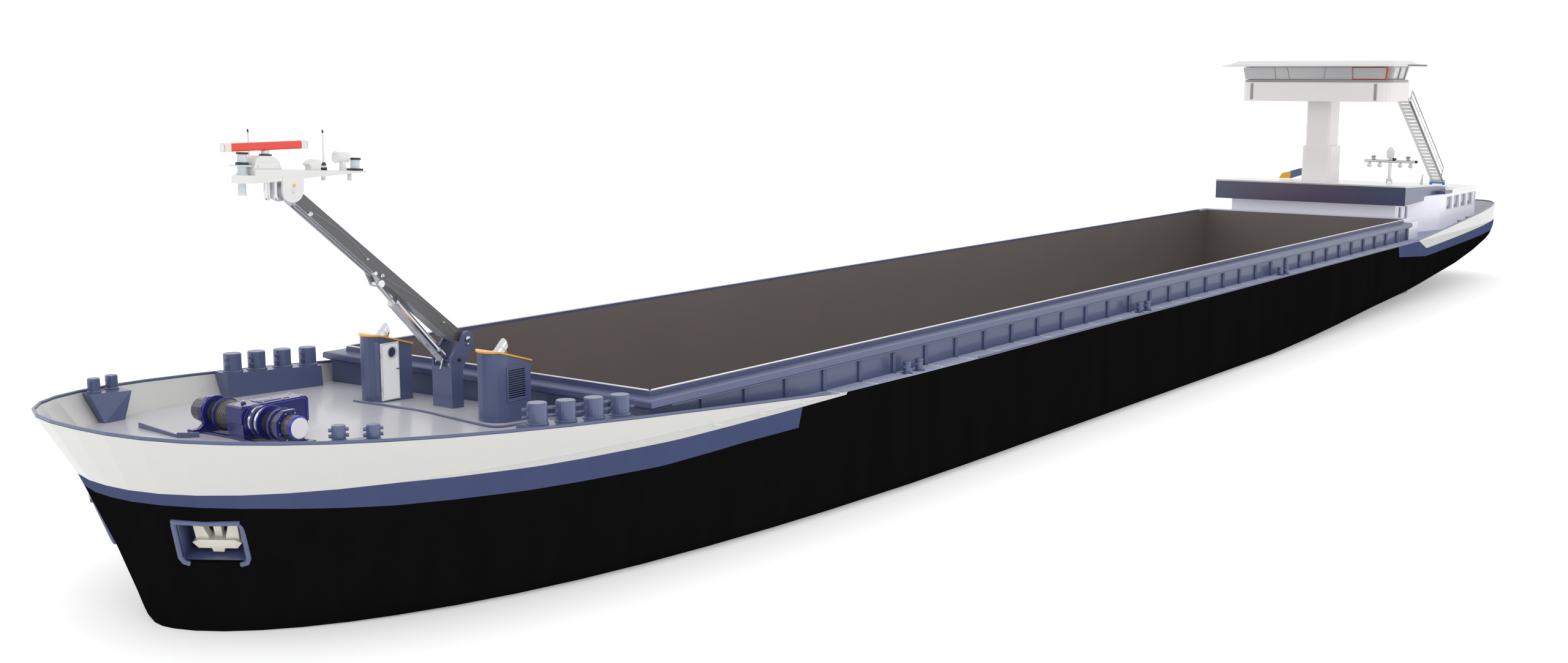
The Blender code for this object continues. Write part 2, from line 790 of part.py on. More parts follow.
def bow_house(side):
    body = house_solid(side, 0.0, 0.0, GAP)
    if side > 0:
        recess = block((GRILLE_X[0], GRILLE_X[1]), (HOUSE_OUTER - 0.05, HOUSE_OUTER + 0.3), GRILLE_Z)
        return cut(body, [recess])
    inside = house_solid(side, -HOUSE_WALL, -HOUSE_WALL, -0.02)
    aft, fore = 1.45, DOOR_X[1] + 0.045
    near, far = -HOUSE_INNER - 0.16, -HOUSE_INNER
    plan = [(aft, near), (fore, near), (fore, far), (aft, far)]
    foot = [(x, y, foredeck_z(x, y) + GAP) for x, y in plan]
    jamb = loft([foot, [(x, y, DOOR_Z[1] + 0.04) for x, y in plan]])
    way_in = block((DOOR_X[0] + 0.04, DOOR_X[1] - 0.04), (-HOUSE_INNER - 0.25, -HOUSE_INNER + 0.2),
                   (DOOR_Z[0] + 0.05, DOOR_Z[1] - 0.04))
    return cut(fuse([body, jamb]), [inside, way_in])


def house_rim(side):
    outline = house_outline(side, 0.03)
    return cut(prism(outline, "z", 3.9, 4.9), [above_roof(0.035), below_roof(GAP)])


def house_pipe(side):
    # A wide stub of pipe that leans aft, cut upright at its mouth
    y = side * (HOUSE_INNER + HOUSE_OUTER) / 2
    lean = Vector((-0.73, 0.0, 0.68))
    middle = Vector((1.464, y, 4.43))
    pipe = bar(middle - lean * 0.4, middle + lean * 0.5, 0.13, 20)
    mouth = block((0.5, 1.31), (y - 1, y + 1), (3.0, 6.0))
    return cut(pipe, [below_roof(0.035 + GAP), mouth])


def house_grille():
    (aft, fore), (low, high) = GRILLE_X, GRILLE_Z
    back, face = HOUSE_OUTER - 0.05 + GAP, HOUSE_OUTER + 0.012
    frame = block((aft + GAP, fore - GAP), (back, face), (low + GAP, high - GAP))
    slots = []
    for k in range(GRILLE_SLOTS):
        z = low + 0.05 + (high - low - 0.10) * k / GRILLE_SLOTS
        across = HOUSE_OUTER - 0.03, HOUSE_OUTER + 0.1
        slots.append(block((aft + 0.04, fore - 0.04), across, (z, z + 0.028)))
    return cut(frame, [together(slots)])


def house_door():
    face = -HOUSE_INNER + GAP
    slab = block(DOOR_X, (face, face + 0.035), DOOR_Z)
    x, z, radius = DOOR_LIGHT
    hole = bar((x, face - 0.1, z), (x, face + 0.2, z), radius, 20)
    return cut(slab, [hole])


# Bow mast

def mast_pedestal():
    rings = []
    for x in (1.04, 1.37):
        rings.append([(x, y, foredeck_z(x, y) + GAP) for y in (-PEDESTAL_HALF, 0.0, PEDESTAL_HALF)]
                     + [(x, PEDESTAL_HALF, 3.96), (x, -PEDESTAL_HALF, 3.96)])
    solids = [loft(rings)]
    ear = [(1.02, 3.9), (1.37, 3.9), (1.37, 4.18), (1.08, 4.50)]
    ear += arc((MAST_PIVOT[0] - 0.015, MAST_PIVOT[1] - 0.02), 0.185, 20, 205, 9)
    for hand in (-1, 1):
        solids.append(prism(ear, "y", hand * (PEDESTAL_HALF - 0.06), hand * PEDESTAL_HALF))
    for x, z, radius in ((*MAST_PIVOT, 0.05), (*CYLINDER_FOOT, 0.03)):
        solids.append(bar((x, -PEDESTAL_HALF - 0.02, z), (x, PEDESTAL_HALF + 0.02, z), radius, 16))
    return fuse(solids)


def along_xz(start, end):
    # Local +X along a line in the XZ plane, with its length
    dx, dz = end[0] - start[0], end[1] - start[1]
    turn = Matrix.Rotation(-atan2(dz, dx), 4, "Y")
    return Matrix.Translation((start[0], 0.0, start[1])) @ turn, hypot(dx, dz)


def mast_boom():
    place, length = along_xz(MAST_PIVOT, HEAD_PIVOT)
    side = BOOM_HALF
    outline = [(0.0, -0.12), (0.40, -0.21), (length - 0.25, -0.15), (length, -0.11)]
    outline += arc((length, 0.0), 0.107, -70, 70, 6)
    outline += [(length, 0.107), (0.0, 0.107)]
    outline += arc((0.0, 0.0), 0.107, 110, 250, 6)
    solid = prism(outline, "y", -side, side)
    tools = [bar((0.0, -1, 0.0), (0.0, 1, 0.0), 0.0525, 16)]
    tools.append(bar((length, -1, 0.0), (length, 1, 0.0), 0.0425, 16))
    # Room in the underside: wide for the cylinder, narrow for the rod's eye
    tools.append(prism([(1.25, -0.4), (1.25, -0.19), (2.05, -0.055), (2.375, -0.055), (2.375, -0.4)],
                       "y", -0.145, 0.145))
    tools.append(prism([(2.30, -0.4), (2.30, -0.07), (2.71, -0.07), (2.71, -0.4)], "y", -0.10, 0.10))
    solid = moved(cut(solid, tools), place)
    lug = [(ROD_EYE[0] - 0.26, ROD_EYE[1] + 0.04), (ROD_EYE[0] - 0.07, ROD_EYE[1] - 0.04),
           (ROD_EYE[0] + 0.07, ROD_EYE[1] - 0.05), (ROD_EYE[0] + 0.34, ROD_EYE[1] + 0.52)]
    lugs = [prism(lug, "y", hand * 0.09, hand * 0.13) for hand in (-1, 1)]
    pins = [bar((ROD_EYE[0], hand * 0.12, ROD_EYE[1]), (ROD_EYE[0], hand * 0.15, ROD_EYE[1]), 0.04, 12)
            for hand in (-1, 1)]
    return fuse([solid] + lugs + pins)


def mast_cylinder():
    place, length = along_xz(CYLINDER_FOOT, ROD_EYE)
    barrel_end = length * 0.775
    ring = barrel_end - 0.08
    outside = [(0.06, 0.08), (0.12, 0.122), (ring, 0.122), (ring, 0.133), (barrel_end, 0.133)]
    solids = [turned_solid(outside, (0, 0, 0), (1, 0, 0), 16)]
    solids.append(bar((0.0, -0.05, 0.0), (0.0, 0.05, 0.0), 0.08, 16))
    barrel = fuse(solids)
    bore = bar((0.12, 0, 0), (barrel_end + 0.1, 0, 0), 0.0515, 16)
    eye = bar((0.0, -0.2, 0.0), (0.0, 0.2, 0.0), 0.032, 16)
    return moved(cut(barrel, [bore, eye]), place)


def mast_rod():
    place, length = along_xz(CYLINDER_FOOT, ROD_EYE)
    solids = [bar((length * 0.52, 0, 0), (length - 0.03, 0, 0), 0.049, 16)]
    solids.append(bar((length, -0.0885, 0.0), (length, 0.0885, 0.0), 0.075, 16))
    return moved(fuse(solids), place)


# The mast head is drawn level, then tilted about its own hinge
PLATFORM_Z = 8.404


def tilted(bm):
    hinge = Vector((HEAD_PIVOT[0], 0.0, HEAD_PIVOT[1]))
    turn = Matrix.Rotation(radians(-HEAD_TILT), 4, "Y")
    return moved(bm, Matrix.Translation(hinge) @ turn @ Matrix.Translation(-hinge))


def mast_head():
    low = PLATFORM_Z - BURY
    side = [(6.42, 8.13), (6.42, 8.291), (6.10, 8.291), (6.10, PLATFORM_Z), (3.42, PLATFORM_Z), (3.42, 8.37),
            (3.71, 8.361), (4.31, 8.302), (4.91, 8.249), (5.64, 8.175), (6.20, 8.13)]
    corners = []
    for hand in (-1, 1):
        corners.append(prism([(6.16, hand * 0.25), (6.5, hand * 0.02), (6.5, hand * 0.25)], "z", 8.0, 8.35))
    solids = [cut(prism(side, "y", -0.24, 0.24), corners)]
    cheek = [(HEAD_PIVOT[0] + 0.25, PLATFORM_Z - 0.1), (HEAD_PIVOT[0] - 0.25, PLATFORM_Z - 0.1)]
    cheek += arc(HEAD_PIVOT, 0.25, 180, 360, 12)
    for hand in (-1, 1):
        solids.append(prism(cheek, "y", hand * (BOOM_HALF + 0.03), hand * (BOOM_HALF + 0.08)))
    x, z, reach = HEAD_PIVOT[0], HEAD_PIVOT[1], BOOM_HALF + 0.1
    solids.append(bar((x, -reach, z), (x, reach, z), 0.04, 16))
    gear = [(6.10 - GAP, low), (6.04, 8.61), (5.93, 8.665), (5.66, 8.665), (5.57, 8.63), (5.50, 8.55),
            (5.435, low)]
    solids.append(prism(gear, "y", -0.18, 0.18))
    solids.append(bar((5.702, 0, 8.60), (5.702, 0, 8.675), 0.12, 16))
    # Horn on its post, spotlight, lantern under the ledge
    solids.append(bar((3.85, 0, low), (3.85, 0, 8.62), 0.07, 12))
    solids.append(bar((3.74, 0, 8.67), (4.02, 0, 8.67), 0.105, 16))
    lamp = [(4.70, low), (4.70, 8.47), (4.77, 8.53), (4.61, 8.62), (4.48, 8.61), (4.45, 8.54), (4.48, low)]
    solids.append(prism(lamp, "y", -0.10, 0.10))
    solids.append(turned_solid([(0.0, 0.09), (0.03, 0.09), (0.04, 0.08), (0.17, 0.08), (0.25, 0.07)],
                               (6.23, 0.0, 7.90), (0, 0, 1), 16))
    # Whips: one on the platform, one on an arm
    whip = [(0.0, 0.06), (0.112, 0.06), (0.125, 0.025), (0.72, 0.02), (0.796, 0.012)]
    lean = (0.056, 0, 1)
    solids.append(turned_solid(whip, (4.31, 0.0, low), lean, 10))
    solids.append(block((5.14, 5.29), (-1.26, -0.2), (PLATFORM_Z - 0.09, PLATFORM_Z - 0.015)))
    solids.append(turned_solid(whip, (5.21, -1.18, PLATFORM_Z - 0.035), lean, 10))
    return tilted(fuse(solids))


def mast_lantern_fore():
    low = 8.291 + GAP - 8.0
    lower = [(low, 0.12), (0.325, 0.12), (0.335, 0.09), (0.462, 0.09)]
    upper = [(0.48, 0.12), (0.534, 0.12), (0.540, 0.095), (0.684, 0.095), (0.690, 0.115), (0.719, 0.11)]
    place, upright = (6.23, 0.0, 8.0), (0, 0, 1)
    plate = block((6.085, 6.423), (-0.15, 0.15), (8.455, 8.486))
    rounds = [turned_solid(profile, place, upright, 16) for profile in (lower, upper)]
    return tilted(fuse([plate] + rounds))


def mast_lantern_aft():
    base = block((3.43, 3.65), (-0.12, 0.12), (PLATFORM_Z + GAP, 8.447))
    profile = [(0.43, 0.10), (0.62, 0.10), (0.625, 0.115), (0.66, 0.11)]
    return tilted(fuse([base, turned_solid(profile, (3.54, 0.0, 8.0), (0, 0, 1), 16)]))


def radar_scanner():
    # The scanner's own axis stands upright
    x, z = SCANNER
    bar_solid = block((-0.97, 0.97), (-0.075, 0.075), (-0.08, 0.08))
    edges = [edge for edge in bar_solid.edges if abs(edge.verts[0].co.x - edge.verts[1].co.x) > 1]
    bmesh.ops.bevel(
        bar_solid, geom=edges, offset=0.03, segments=2, profile=0.5, affect="EDGES", material=-1)
    bar_solid = moved(bar_solid, Matrix.Translation((x, 0, z)) @ Matrix.Rotation(radians(1), 4, "Z"))
    hub = [(-0.1775, 0.03), (-0.165, 0.03), (-0.16, 0.07), (0.0, 0.07)]
    return fuse([bar_solid, turned_solid(hub, (x, 0, z), (0, 0, 1), 16)])


# Winch

def winch_frame():
    solids = []
    for x in (WINCH_X - 0.38, WINCH_X + 0.30):
        rings = []
        for y in (-1.10, 0.0, 1.40):
            low = foredeck_z(x + 0.08, y) + GAP
            fore = x + 0.08
            rings.append([(x, y, low), (fore, y, low), (fore, y, low + 0.05), (x, y, low + 0.05)])
        solids.append(loft(rings))
    aft, fore = WINCH_X - 0.52, WINCH_X + 0.52
    for y in WINCH_SUPPORTS:
        out = 1 if y > 0 else -1
        rings = []
        for edge in (y - out * 0.05, y + out * 0.13):
            low, high = foredeck_z(aft, edge) + GAP, foredeck_z(fore, edge) + GAP
            foot = [(aft, edge, low), (fore, edge, high)]
            rings.append(foot + [(fore, edge, high + 0.075), (aft, edge, low + 0.075)])
        solids.append(loft(rings))
        feet = aft + 0.10, fore - 0.10
        leg = [(x, foredeck_z(x, y) + 0.03) for x in feet] + [(WINCH_X + 0.2, 3.48), (WINCH_X - 0.2, 3.48)]
        solids.append(prism(leg, "y", y - 0.05, y + 0.05))
        solids.append(prism(arc((WINCH_X, WINCH_Z), 0.34, 22.5, 337.5, 7), "y", y - 0.05, y + 0.05))
    # Gearbox: its aft end overhangs the deck
    aft, fore = GEARBOX_X
    near, far = GEARBOX_Y
    rings = []
    for x in (aft + 0.42, fore - 0.05):
        sides = near + 0.02, far - 0.02
        foot = [(x, sides[0], foredeck_z(x, near) + 0.004), (x, 0.0, foredeck_z(x, 0.0) + GAP)]
        foot.append((x, sides[1], foredeck_z(x, far) + 0.004))
        rings.append(foot + [(x, sides[1], 3.6), (x, sides[0], 3.6)])
    solids.append(loft(rings))
    top, inner = GEARBOX_TOP, fore - 0.03
    case = [(aft, 3.46), (aft, top - 0.06), (aft + 0.06, top), (inner, top), (fore, top - 0.03),
            (fore, 3.62), (inner, 3.60), (inner, 3.40), (aft + 0.10, 3.40)]
    solids.append(prism(case, "y", near, far))
    bore = bar((WINCH_X, -3, WINCH_Z), (WINCH_X, 3, WINCH_Z), 0.0638, 16)
    return cut(fuse(solids), [bore])


# Winch shaft, drums and heads turned about the shaft: place along +Y, radius
WINCH_PROFILE = (
    (-1.52, 0.10), (-1.50, 0.19), (-1.45, 0.235), (-1.22, 0.24), (-1.21, 0.13), (-1.12, 0.13),
    (-1.11, 0.062), (-0.97, 0.062), (-0.965, 0.33), (-0.915, 0.33), (-0.905, 0.13), (-0.64, 0.13),
    (-0.63, 0.33), (-0.575, 0.33), (-0.565, 0.28), (-0.16, 0.28), (-0.155, 0.062), (0.385, 0.062),
    (0.39, 0.31), (0.43, 0.31), (0.44, 0.28), (0.565, 0.28), (0.57, 0.305), (0.605, 0.305),
    (0.61, 0.28), (0.75, 0.28), (0.755, 0.33), (0.805, 0.33), (0.815, 0.13), (1.065, 0.13),
    (1.07, 0.31), (1.13, 0.31), (1.135, 0.28), (1.255, 0.28), (1.26, 0.062), (1.395, 0.062),
    (1.40, 0.24), (1.58, 0.235), (1.60, 0.20), (1.645, 0.185), (1.66, 0.10),
)


def winch_shaft():
    return turned_solid(WINCH_PROFILE, (WINCH_X, 0.0, WINCH_Z), (0, 1, 0), 16)


# Deckhouse

# Port wall line: x, half breadth
DECKHOUSE_WALL = ((-52.7, 3.9), (-54.2, 4.1), (-55.4, 4.45), (-56.7, 4.79), (-62.72, 4.79), (-62.8, 4.68))
DECKHOUSE_THICK = 0.10
WINDOWS = ((-58.53, -57.70), (-59.76, -58.93), (-60.97, -60.14), (-62.14, -61.31), (-62.66, -62.44))
WINDOW_Z = (3.79, 4.38)
SMALL_WINDOWS = ((-53.35, -53.05), (-54.0, -53.7))


def deckhouse():
    port = list(DECKHOUSE_WALL)
    outline = port + [(x, -y) for x, y in reversed(port)]
    outer = prism(outline, "z", DECK_Z + GAP, WALL_TOP)
    inner_line = offset_path(outline + outline[:2], -DECKHOUSE_THICK)[1:-1]
    inner = prism(inner_line, "z", DECK_Z - 1.0, WALL_TOP + 1.0)
    windows = []
    for aft, fore in WINDOWS:
        windows.append(block((aft, fore), (-6.0, 6.0), WINDOW_Z))
    for aft, fore in SMALL_WINDOWS:
        windows.append(block((aft, fore), (-6.0, 6.0), (3.6, 4.15)))
    return cut(outer, [inner, together(windows)])


def deckhouse_roof():
    low, wing_front = WALL_TOP + GAP, -57.14
    side = [(ROOF_FRONT, 5.18), (-57.0, 4.98), (-59.9, AFT_ROOF_Z), (ROOF_AFT, AFT_ROOF_Z), (ROOF_AFT, low),
            (ROOF_FRONT, low)]
    fore_part = prism(side, "y", -ROOF_HALF, ROOF_HALF)
    wing_side = [(wing_front, low), (wing_front, AFT_ROOF_Z), (ROOF_AFT, AFT_ROOF_Z), (ROOF_AFT, low)]
    wing = prism(wing_side, "y", -AFT_HALF - 0.05, AFT_HALF + 0.05)
    solids = [fore_part, wing]
    solids.append(block((ROOF_FRONT - 0.12, ROOF_FRONT), (-ROOF_HALF, ROOF_HALF), (4.28, 5.1)))
    for hand in (-1, 1):
        skirt = [(ROOF_FRONT, 4.30), (ROOF_FRONT, 4.9), (-56.2, 4.8), (-56.2, 4.62),
                 (-55.0, 4.60), (-55.0, 4.36)]
        solids.append(prism(skirt, "y", hand * (ROOF_HALF - 0.10), hand * ROOF_HALF))
    half = SLEEVE_HALF + SLIDE
    way = block((SLEEVE_X[0] - SLIDE, SLEEVE_X[1] + SLIDE), (-half, half), (4.0, 6.0))
    return cut(fuse(solids), [way])


def chamfered(x, half, cut_back):
    a, b = x
    return [(a + cut_back, -half), (b - cut_back, -half), (b, -half + cut_back), (b, half - cut_back),
            (b - cut_back, half), (a + cut_back, half), (a, half - cut_back), (a, -half + cut_back)]


def lift_sleeve():
    outer = prism(chamfered(SLEEVE_X, SLEEVE_HALF, 0.12), "z", 4.46, SLEEVE_TOP)
    space = (COLUMN_X[0] - SLIDE, COLUMN_X[1] + SLIDE)
    inner = prism(chamfered(space, COLUMN_HALF + SLIDE, 0.10), "z", 3.0, 8.0)
    return cut(outer, [inner])


def lift_column():
    return prism(chamfered(COLUMN_X, COLUMN_HALF, 0.10), "z", 5.0, TRAY_Z - GAP)


# Wheelhouse

def tray_outline(grow):
    # Plan with round front corners and a slightly round rear
    aft, fore = TRAY_X[0] - grow, TRAY_X[1] + grow
    half, turn = TRAY_HALF + grow, 0.7 + grow
    points = [(aft, -half)]
    points += arc((fore - turn, -half + turn), turn, -90, 0, 5)
    points += arc((fore - turn, half - turn), turn, 0, 90, 5)
    points.append((aft, half))
    return points


def wheelhouse_tray():
    outer = prism(tray_outline(0.0), "z", TRAY_Z, SILL_Z)
    inner = prism(tray_outline(-0.08), "z", TRAY_Z + 0.12, SILL_Z + 1.0)
    x, z = STAIR_TOP
    ear = [(TRAY_X[0] + 0.04, z + 0.13), (x, z + 0.11)] + arc(STAIR_TOP, 0.11, 110, 250, 4)
    ear += [(x, z - 0.11), (TRAY_X[0] + 0.04, z - 0.045)]
    ears = [prism(ear, "y", y - 0.02, y + 0.02) for y in STAIR_EARS]
    pin_way = bar((x, 0.0, z), (x, 5.0, z), 0.063, 16)
    return cut(fuse([cut(outer, [inner])] + ears), [pin_way])


def wheelhouse_frame():
    sill_outer = prism(tray_outline(-0.03), "z", SILL_Z + GAP, SILL_Z + 0.12)
    rings = []
    for grow, z in ((-0.16, SILL_Z + 0.10), (-0.02, ROOF_Z - GAP)):
        rings.append([(x, y, z) for x, y in tray_outline(grow)])
    walls = loft(rings)
    body = fuse([sill_outer, walls])
    inner = []
    for grow, z in ((-0.26, SILL_Z - 0.5), (-0.26, SILL_Z + 0.10), (-0.12, ROOF_Z + 0.04)):
        inner.append([(x, y, z) for x, y in tray_outline(grow)])
    body = cut(body, [loft(inner)])
    low, high = SILL_Z + 0.15, ROOF_Z - 0.05
    openings = []
    for left, right in ((-2.72, -1.42), (-1.34, -0.04), (0.04, 1.34), (1.42, 2.72)):
        openings.append(block((-52.9, -51.0), (left, right), (low, high)))
    for aft, fore in ((-54.85, -54.0), (-53.9, -53.05)):
        for near, far in ((-5.0, -3.1), (3.1, 5.0)):
            openings.append(block((aft, fore), (near, far), (low, high)))
    for left, right in ((-3.0, -1.6), (-1.5, -0.05), (0.05, 1.5), (1.6, 3.0)):
        openings.append(block((-56.0, -54.7), (left, right), (low, high)))
    return cut(body, [together(openings)])


def wheelhouse_roof():
    eave = [(-56.0, -4.0), (-51.9, -4.3), (-51.4, -3.9), (-51.4, 3.9), (-51.9, 4.3), (-56.0, 4.0)]
    plate = prism(eave, "z", ROOF_Z, ROOF_Z + 0.08)
    low = [(-55.8, -3.75), (-51.75, -3.95), (-51.75, 3.95), (-55.8, 3.75)]
    high = [(-55.5, -3.45), (-52.1, -3.6), (-52.1, 3.6), (-55.5, 3.45)]
    crown = loft([[(x, y, ROOF_Z + 0.06) for x, y in low], [(x, y, ROOF_Z + 0.25) for x, y in high]])
    return fuse([plate, crown])


def wheelhouse_console():
    floor = TRAY_Z + 0.12 + GAP
    desk = [(-53.0, floor), (-52.62, floor), (-52.62, floor + 0.72), (-52.9, floor + 0.86),
            (-53.25, floor + 0.74)]
    solids = [prism(desk, "y", -1.1, 1.1)]
    solids.append(block((-54.4, -52.8), (-0.3, 0.3), (floor, floor + 0.05)))
    solids.append(bar((-54.1, 0, floor + 0.02), (-54.1, 0, floor + 0.45), 0.06, 12))
    solids.append(block((-54.35, -53.85), (-0.26, 0.26), (floor + 0.42, floor + 0.54)))
    solids.append(block((-54.40, -54.28), (-0.24, 0.24), (floor + 0.46, floor + 1.1)))
    return fuse(solids)


def stairs():
    place, length = along_xz(STAIR_FOOT, STAIR_TOP)
    near, far = STAIR_Y
    solids = []
    for y in (near, far - 0.05):
        solids.append(block((-0.05, length + 0.075), (y, y + 0.05), (-0.09, 0.09)))
    treads = []
    for k in range(STAIR_TREADS):
        x = 0.14 + (length - 0.28) * k / (STAIR_TREADS - 1)
        treads.append(block((x - 0.03, x + 0.03), (near + 0.03, far - 0.03), (-0.05, 0.05)))
    solids.append(together(treads))
    solids.append(bar((0.0, near - 0.10, 0.004), (0.0, far + 0.12, 0.004), 0.075, 12))
    solids.append(bar((length, near - 0.04, 0.0), (length, far + 0.04, 0.0), 0.06, 16))
    rail_y = far - 0.0253
    rise = 0.63
    solids.append(tube([(0.301, rail_y, 0.02), (0.301, rail_y, rise), (length - 0.2, rail_y, rise),
                        (length - 0.2, rail_y, 0.02)], 0.02, 6))
    for share in (0.214, 0.391, 0.573, 0.762):
        solids.append(bar((length * share, rail_y, 0.013), (length * share, rail_y, rise + 0.001), 0.017, 6))
    return moved(fuse(solids), place)


# Aft mast: a folding post with a cross bar, lights and a dome

def aft_mast_foot():
    x, y = AFT_MAST
    low = roof_z(x + 0.16)
    solids = [block((x - 0.16, x + 0.16), (y - 0.16, y + 0.16), (low + GAP, low + 0.06))]
    for hand in (-1, 1):
        hinge = AFT_MAST_HINGE_Z
        ear = [(x - 0.08, low + 0.02), (x + 0.08, low + 0.02), (x + 0.08, hinge), (x + 0.04, hinge + 0.08),
               (x - 0.04, hinge + 0.08), (x - 0.08, hinge)]
        solids.append(prism(ear, "y", y + hand * 0.10, y + hand * 0.14))
    solids.append(bar((x, y - 0.16, AFT_MAST_HINGE_Z), (x, y + 0.16, AFT_MAST_HINGE_Z), 0.025, 12))
    return fuse(solids)


def roof_z(x):
    # Height of the deckhouse roof along the ship
    line = ((ROOF_AFT, AFT_ROOF_Z), (-59.9, AFT_ROOF_Z), (-57.0, 4.98), (ROOF_FRONT, 5.18))
    for near, far in zip(line, line[1:]):
        if x <= far[0]:
            return near[1] + (far[1] - near[1]) * (x - near[0]) / (far[0] - near[0])
    return line[-1][1]


def aft_mast():
    x, y = AFT_MAST
    base = AFT_MAST_HINGE_Z
    post = turned_solid([(-0.07, 0.06), (0.10, 0.075), (0.95, 0.06)], (x, y, base), (0, 0, 1), 16)
    post = cut(post, [bar((x, y - 1, base), (x, y + 1, base), 0.0267, 12)])
    solids = [post, bar((x, y - 1.27, base + 0.93), (x, y + 1.27, base + 0.93), 0.065, 12)]
    dome = [(0.0, 0.05), (0.10, 0.06), (0.14, 0.16), (0.34, 0.20), (0.50, 0.19), (0.62, 0.12), (0.68, 0.04)]
    solids.append(turned_solid(dome, (x, y, base + 0.95), (0, 0, 1), 16))
    for offset in (-0.82, 0.86):
        solids.append(turned_solid([(0.0, 0.05), (0.08, 0.05), (0.09, 0.10), (0.20, 0.10)],
                                   (x, y + offset, base + 0.97), (0, 0, 1), 12))
    for offset in (-1.0, -0.5, 0.5, 1.0):
        sides = y + offset - 0.05, y + offset + 0.05
        solids.append(block((x - 0.02, x + 0.02), sides, (base + 0.70, base + 0.93)))
        lamp = (x - 0.07, y + offset, base + 0.68), (x + 0.12, y + offset, base + 0.72)
        solids.append(bar(*lamp, 0.09, 10))
    return fuse(solids)


# Deck crane

def crane_base():
    x, y = CRANE
    rings = []
    for side in (-0.28, 0.28):
        low = roof_z(x + side) + GAP
        rings.append([(x + side, y - 0.28, low), (x + side, y + 0.28, low),
                      (x + side, y + 0.28, 5.05), (x + side, y - 0.28, 5.05)])
    return fuse([loft(rings), bar((x, y, 5.0), (x, y, 5.18), 0.2, 16)])


def crane_post():
    x, y = CRANE
    solids = [bar((x, y, 5.18 + GAP), (x, y, 5.54), 0.17, 16)]
    for hand in (-1, 1):
        ear = [(y - 0.16, 5.5), (y + 0.16, 5.5), (y + 0.10, 5.90), (y - 0.10, 5.90)]
        solids.append(prism(ear, "x", x + hand * 0.15, x + hand * 0.20))
    solids.append(block((x - 0.2, x + 0.2), (y - 0.16, y + 0.16), (5.45, 5.56)))
    solids.append(bar((x - 0.22, y, CRANE_HINGE_Z), (x + 0.22, y, CRANE_HINGE_Z), 0.035, 12))
    return fuse(solids)


def crane_boom():
    x, y = CRANE
    z = CRANE_HINGE_Z
    tip = y - 2.1
    root, inner = y + 0.09, tip + 0.46
    beam = [(root, z - 0.09), (root, z + 0.09), (inner, 5.49), (tip, 5.35), (tip, 4.97), (inner, 5.12)]
    body = prism(beam, "x", x - 0.13, x + 0.13)
    body = cut(body, [bar((x - 1, y, z), (x + 1, y, z), 0.0368, 12)])
    hook = [(tip + 0.05, 5.345), (tip - 0.41, 5.24), (tip - 0.56, 4.96), (tip + 0.05, 5.0)]
    return fuse([body, prism(hook, "x", x - 0.10, x + 0.10)])


# Propulsion

def nozzle():
    half = 0.45
    profile = [(-half, 0.80), (half, 0.83), (half, 0.87), (0.0, 0.91), (-half, 0.84)]
    ring = turned_ring(profile, (PROP_X, 0.0, SHAFT_Z), (1, 0, 0), 24)
    seat = block((PROP_X - 0.2, PROP_X + 0.2), (-0.08, 0.08),
                 (SHAFT_Z + 0.85, SHAFT_Z + sqrt(TUNNEL_R ** 2 - 0.08 ** 2) * cos(pi / 24) - GAP))
    return fuse([ring, seat])


# Blade sections: radius, chord, pitch in degrees, half thickness
BLADE_SECTIONS = (
    (0.08, 0.18, 62, 0.022),
    (0.30, 0.34, 45, 0.022),
    (0.55, 0.40, 30, 0.012),
    (0.70, 0.26, 22, 0.012),
    (PROP_R, 0.10, 20, 0.012),
)
BLADES = 4


def propeller():
    hub = [(-0.24, 0.05), (-0.16, 0.11), (0.12, 0.14), (0.16, 0.0968), (3.25, 0.0968)]
    solids = [turned_solid(hub, (PROP_X, 0.0, SHAFT_Z), (1, 0, 0), 20)]
    centre = Vector((PROP_X, 0.0, SHAFT_Z))
    for k in range(BLADES):
        rows = []
        for radius, chord, pitch, thick in BLADE_SECTIONS:
            turn = radians(pitch)
            row = []
            for u, v in ((-chord / 2, 0.0), (0.0, -thick), (chord / 2, 0.0), (0.0, thick)):
                row.append((u * sin(turn) + v * cos(turn), u * cos(turn) - v * sin(turn), radius))
            rows.append(row)
        spin = Matrix.Rotation(radians(360 * k / BLADES + 20), 4, "X")
        solids.append(moved(loft(rows), Matrix.Translation(centre) @ spin))
    return fuse(solids)


def rudder(side):
    y = side * RUDDER_Y
    half = ((0.33, 0.0), (0.2, 0.06), (-0.1, 0.075), (-0.95, 0.015))
    plan = [(RUDDER_X + x, y + across) for x, across in half]
    plan += [(RUDDER_X + x, y - across) for x, across in reversed(half[1:])]
    blade = prism(plan, "z", 0.22, 1.42)
    stock = bar((RUDDER_X, y, 1.37), (RUDDER_X, y, 2.25), 0.06, 16)
    return fuse([blade, stock])


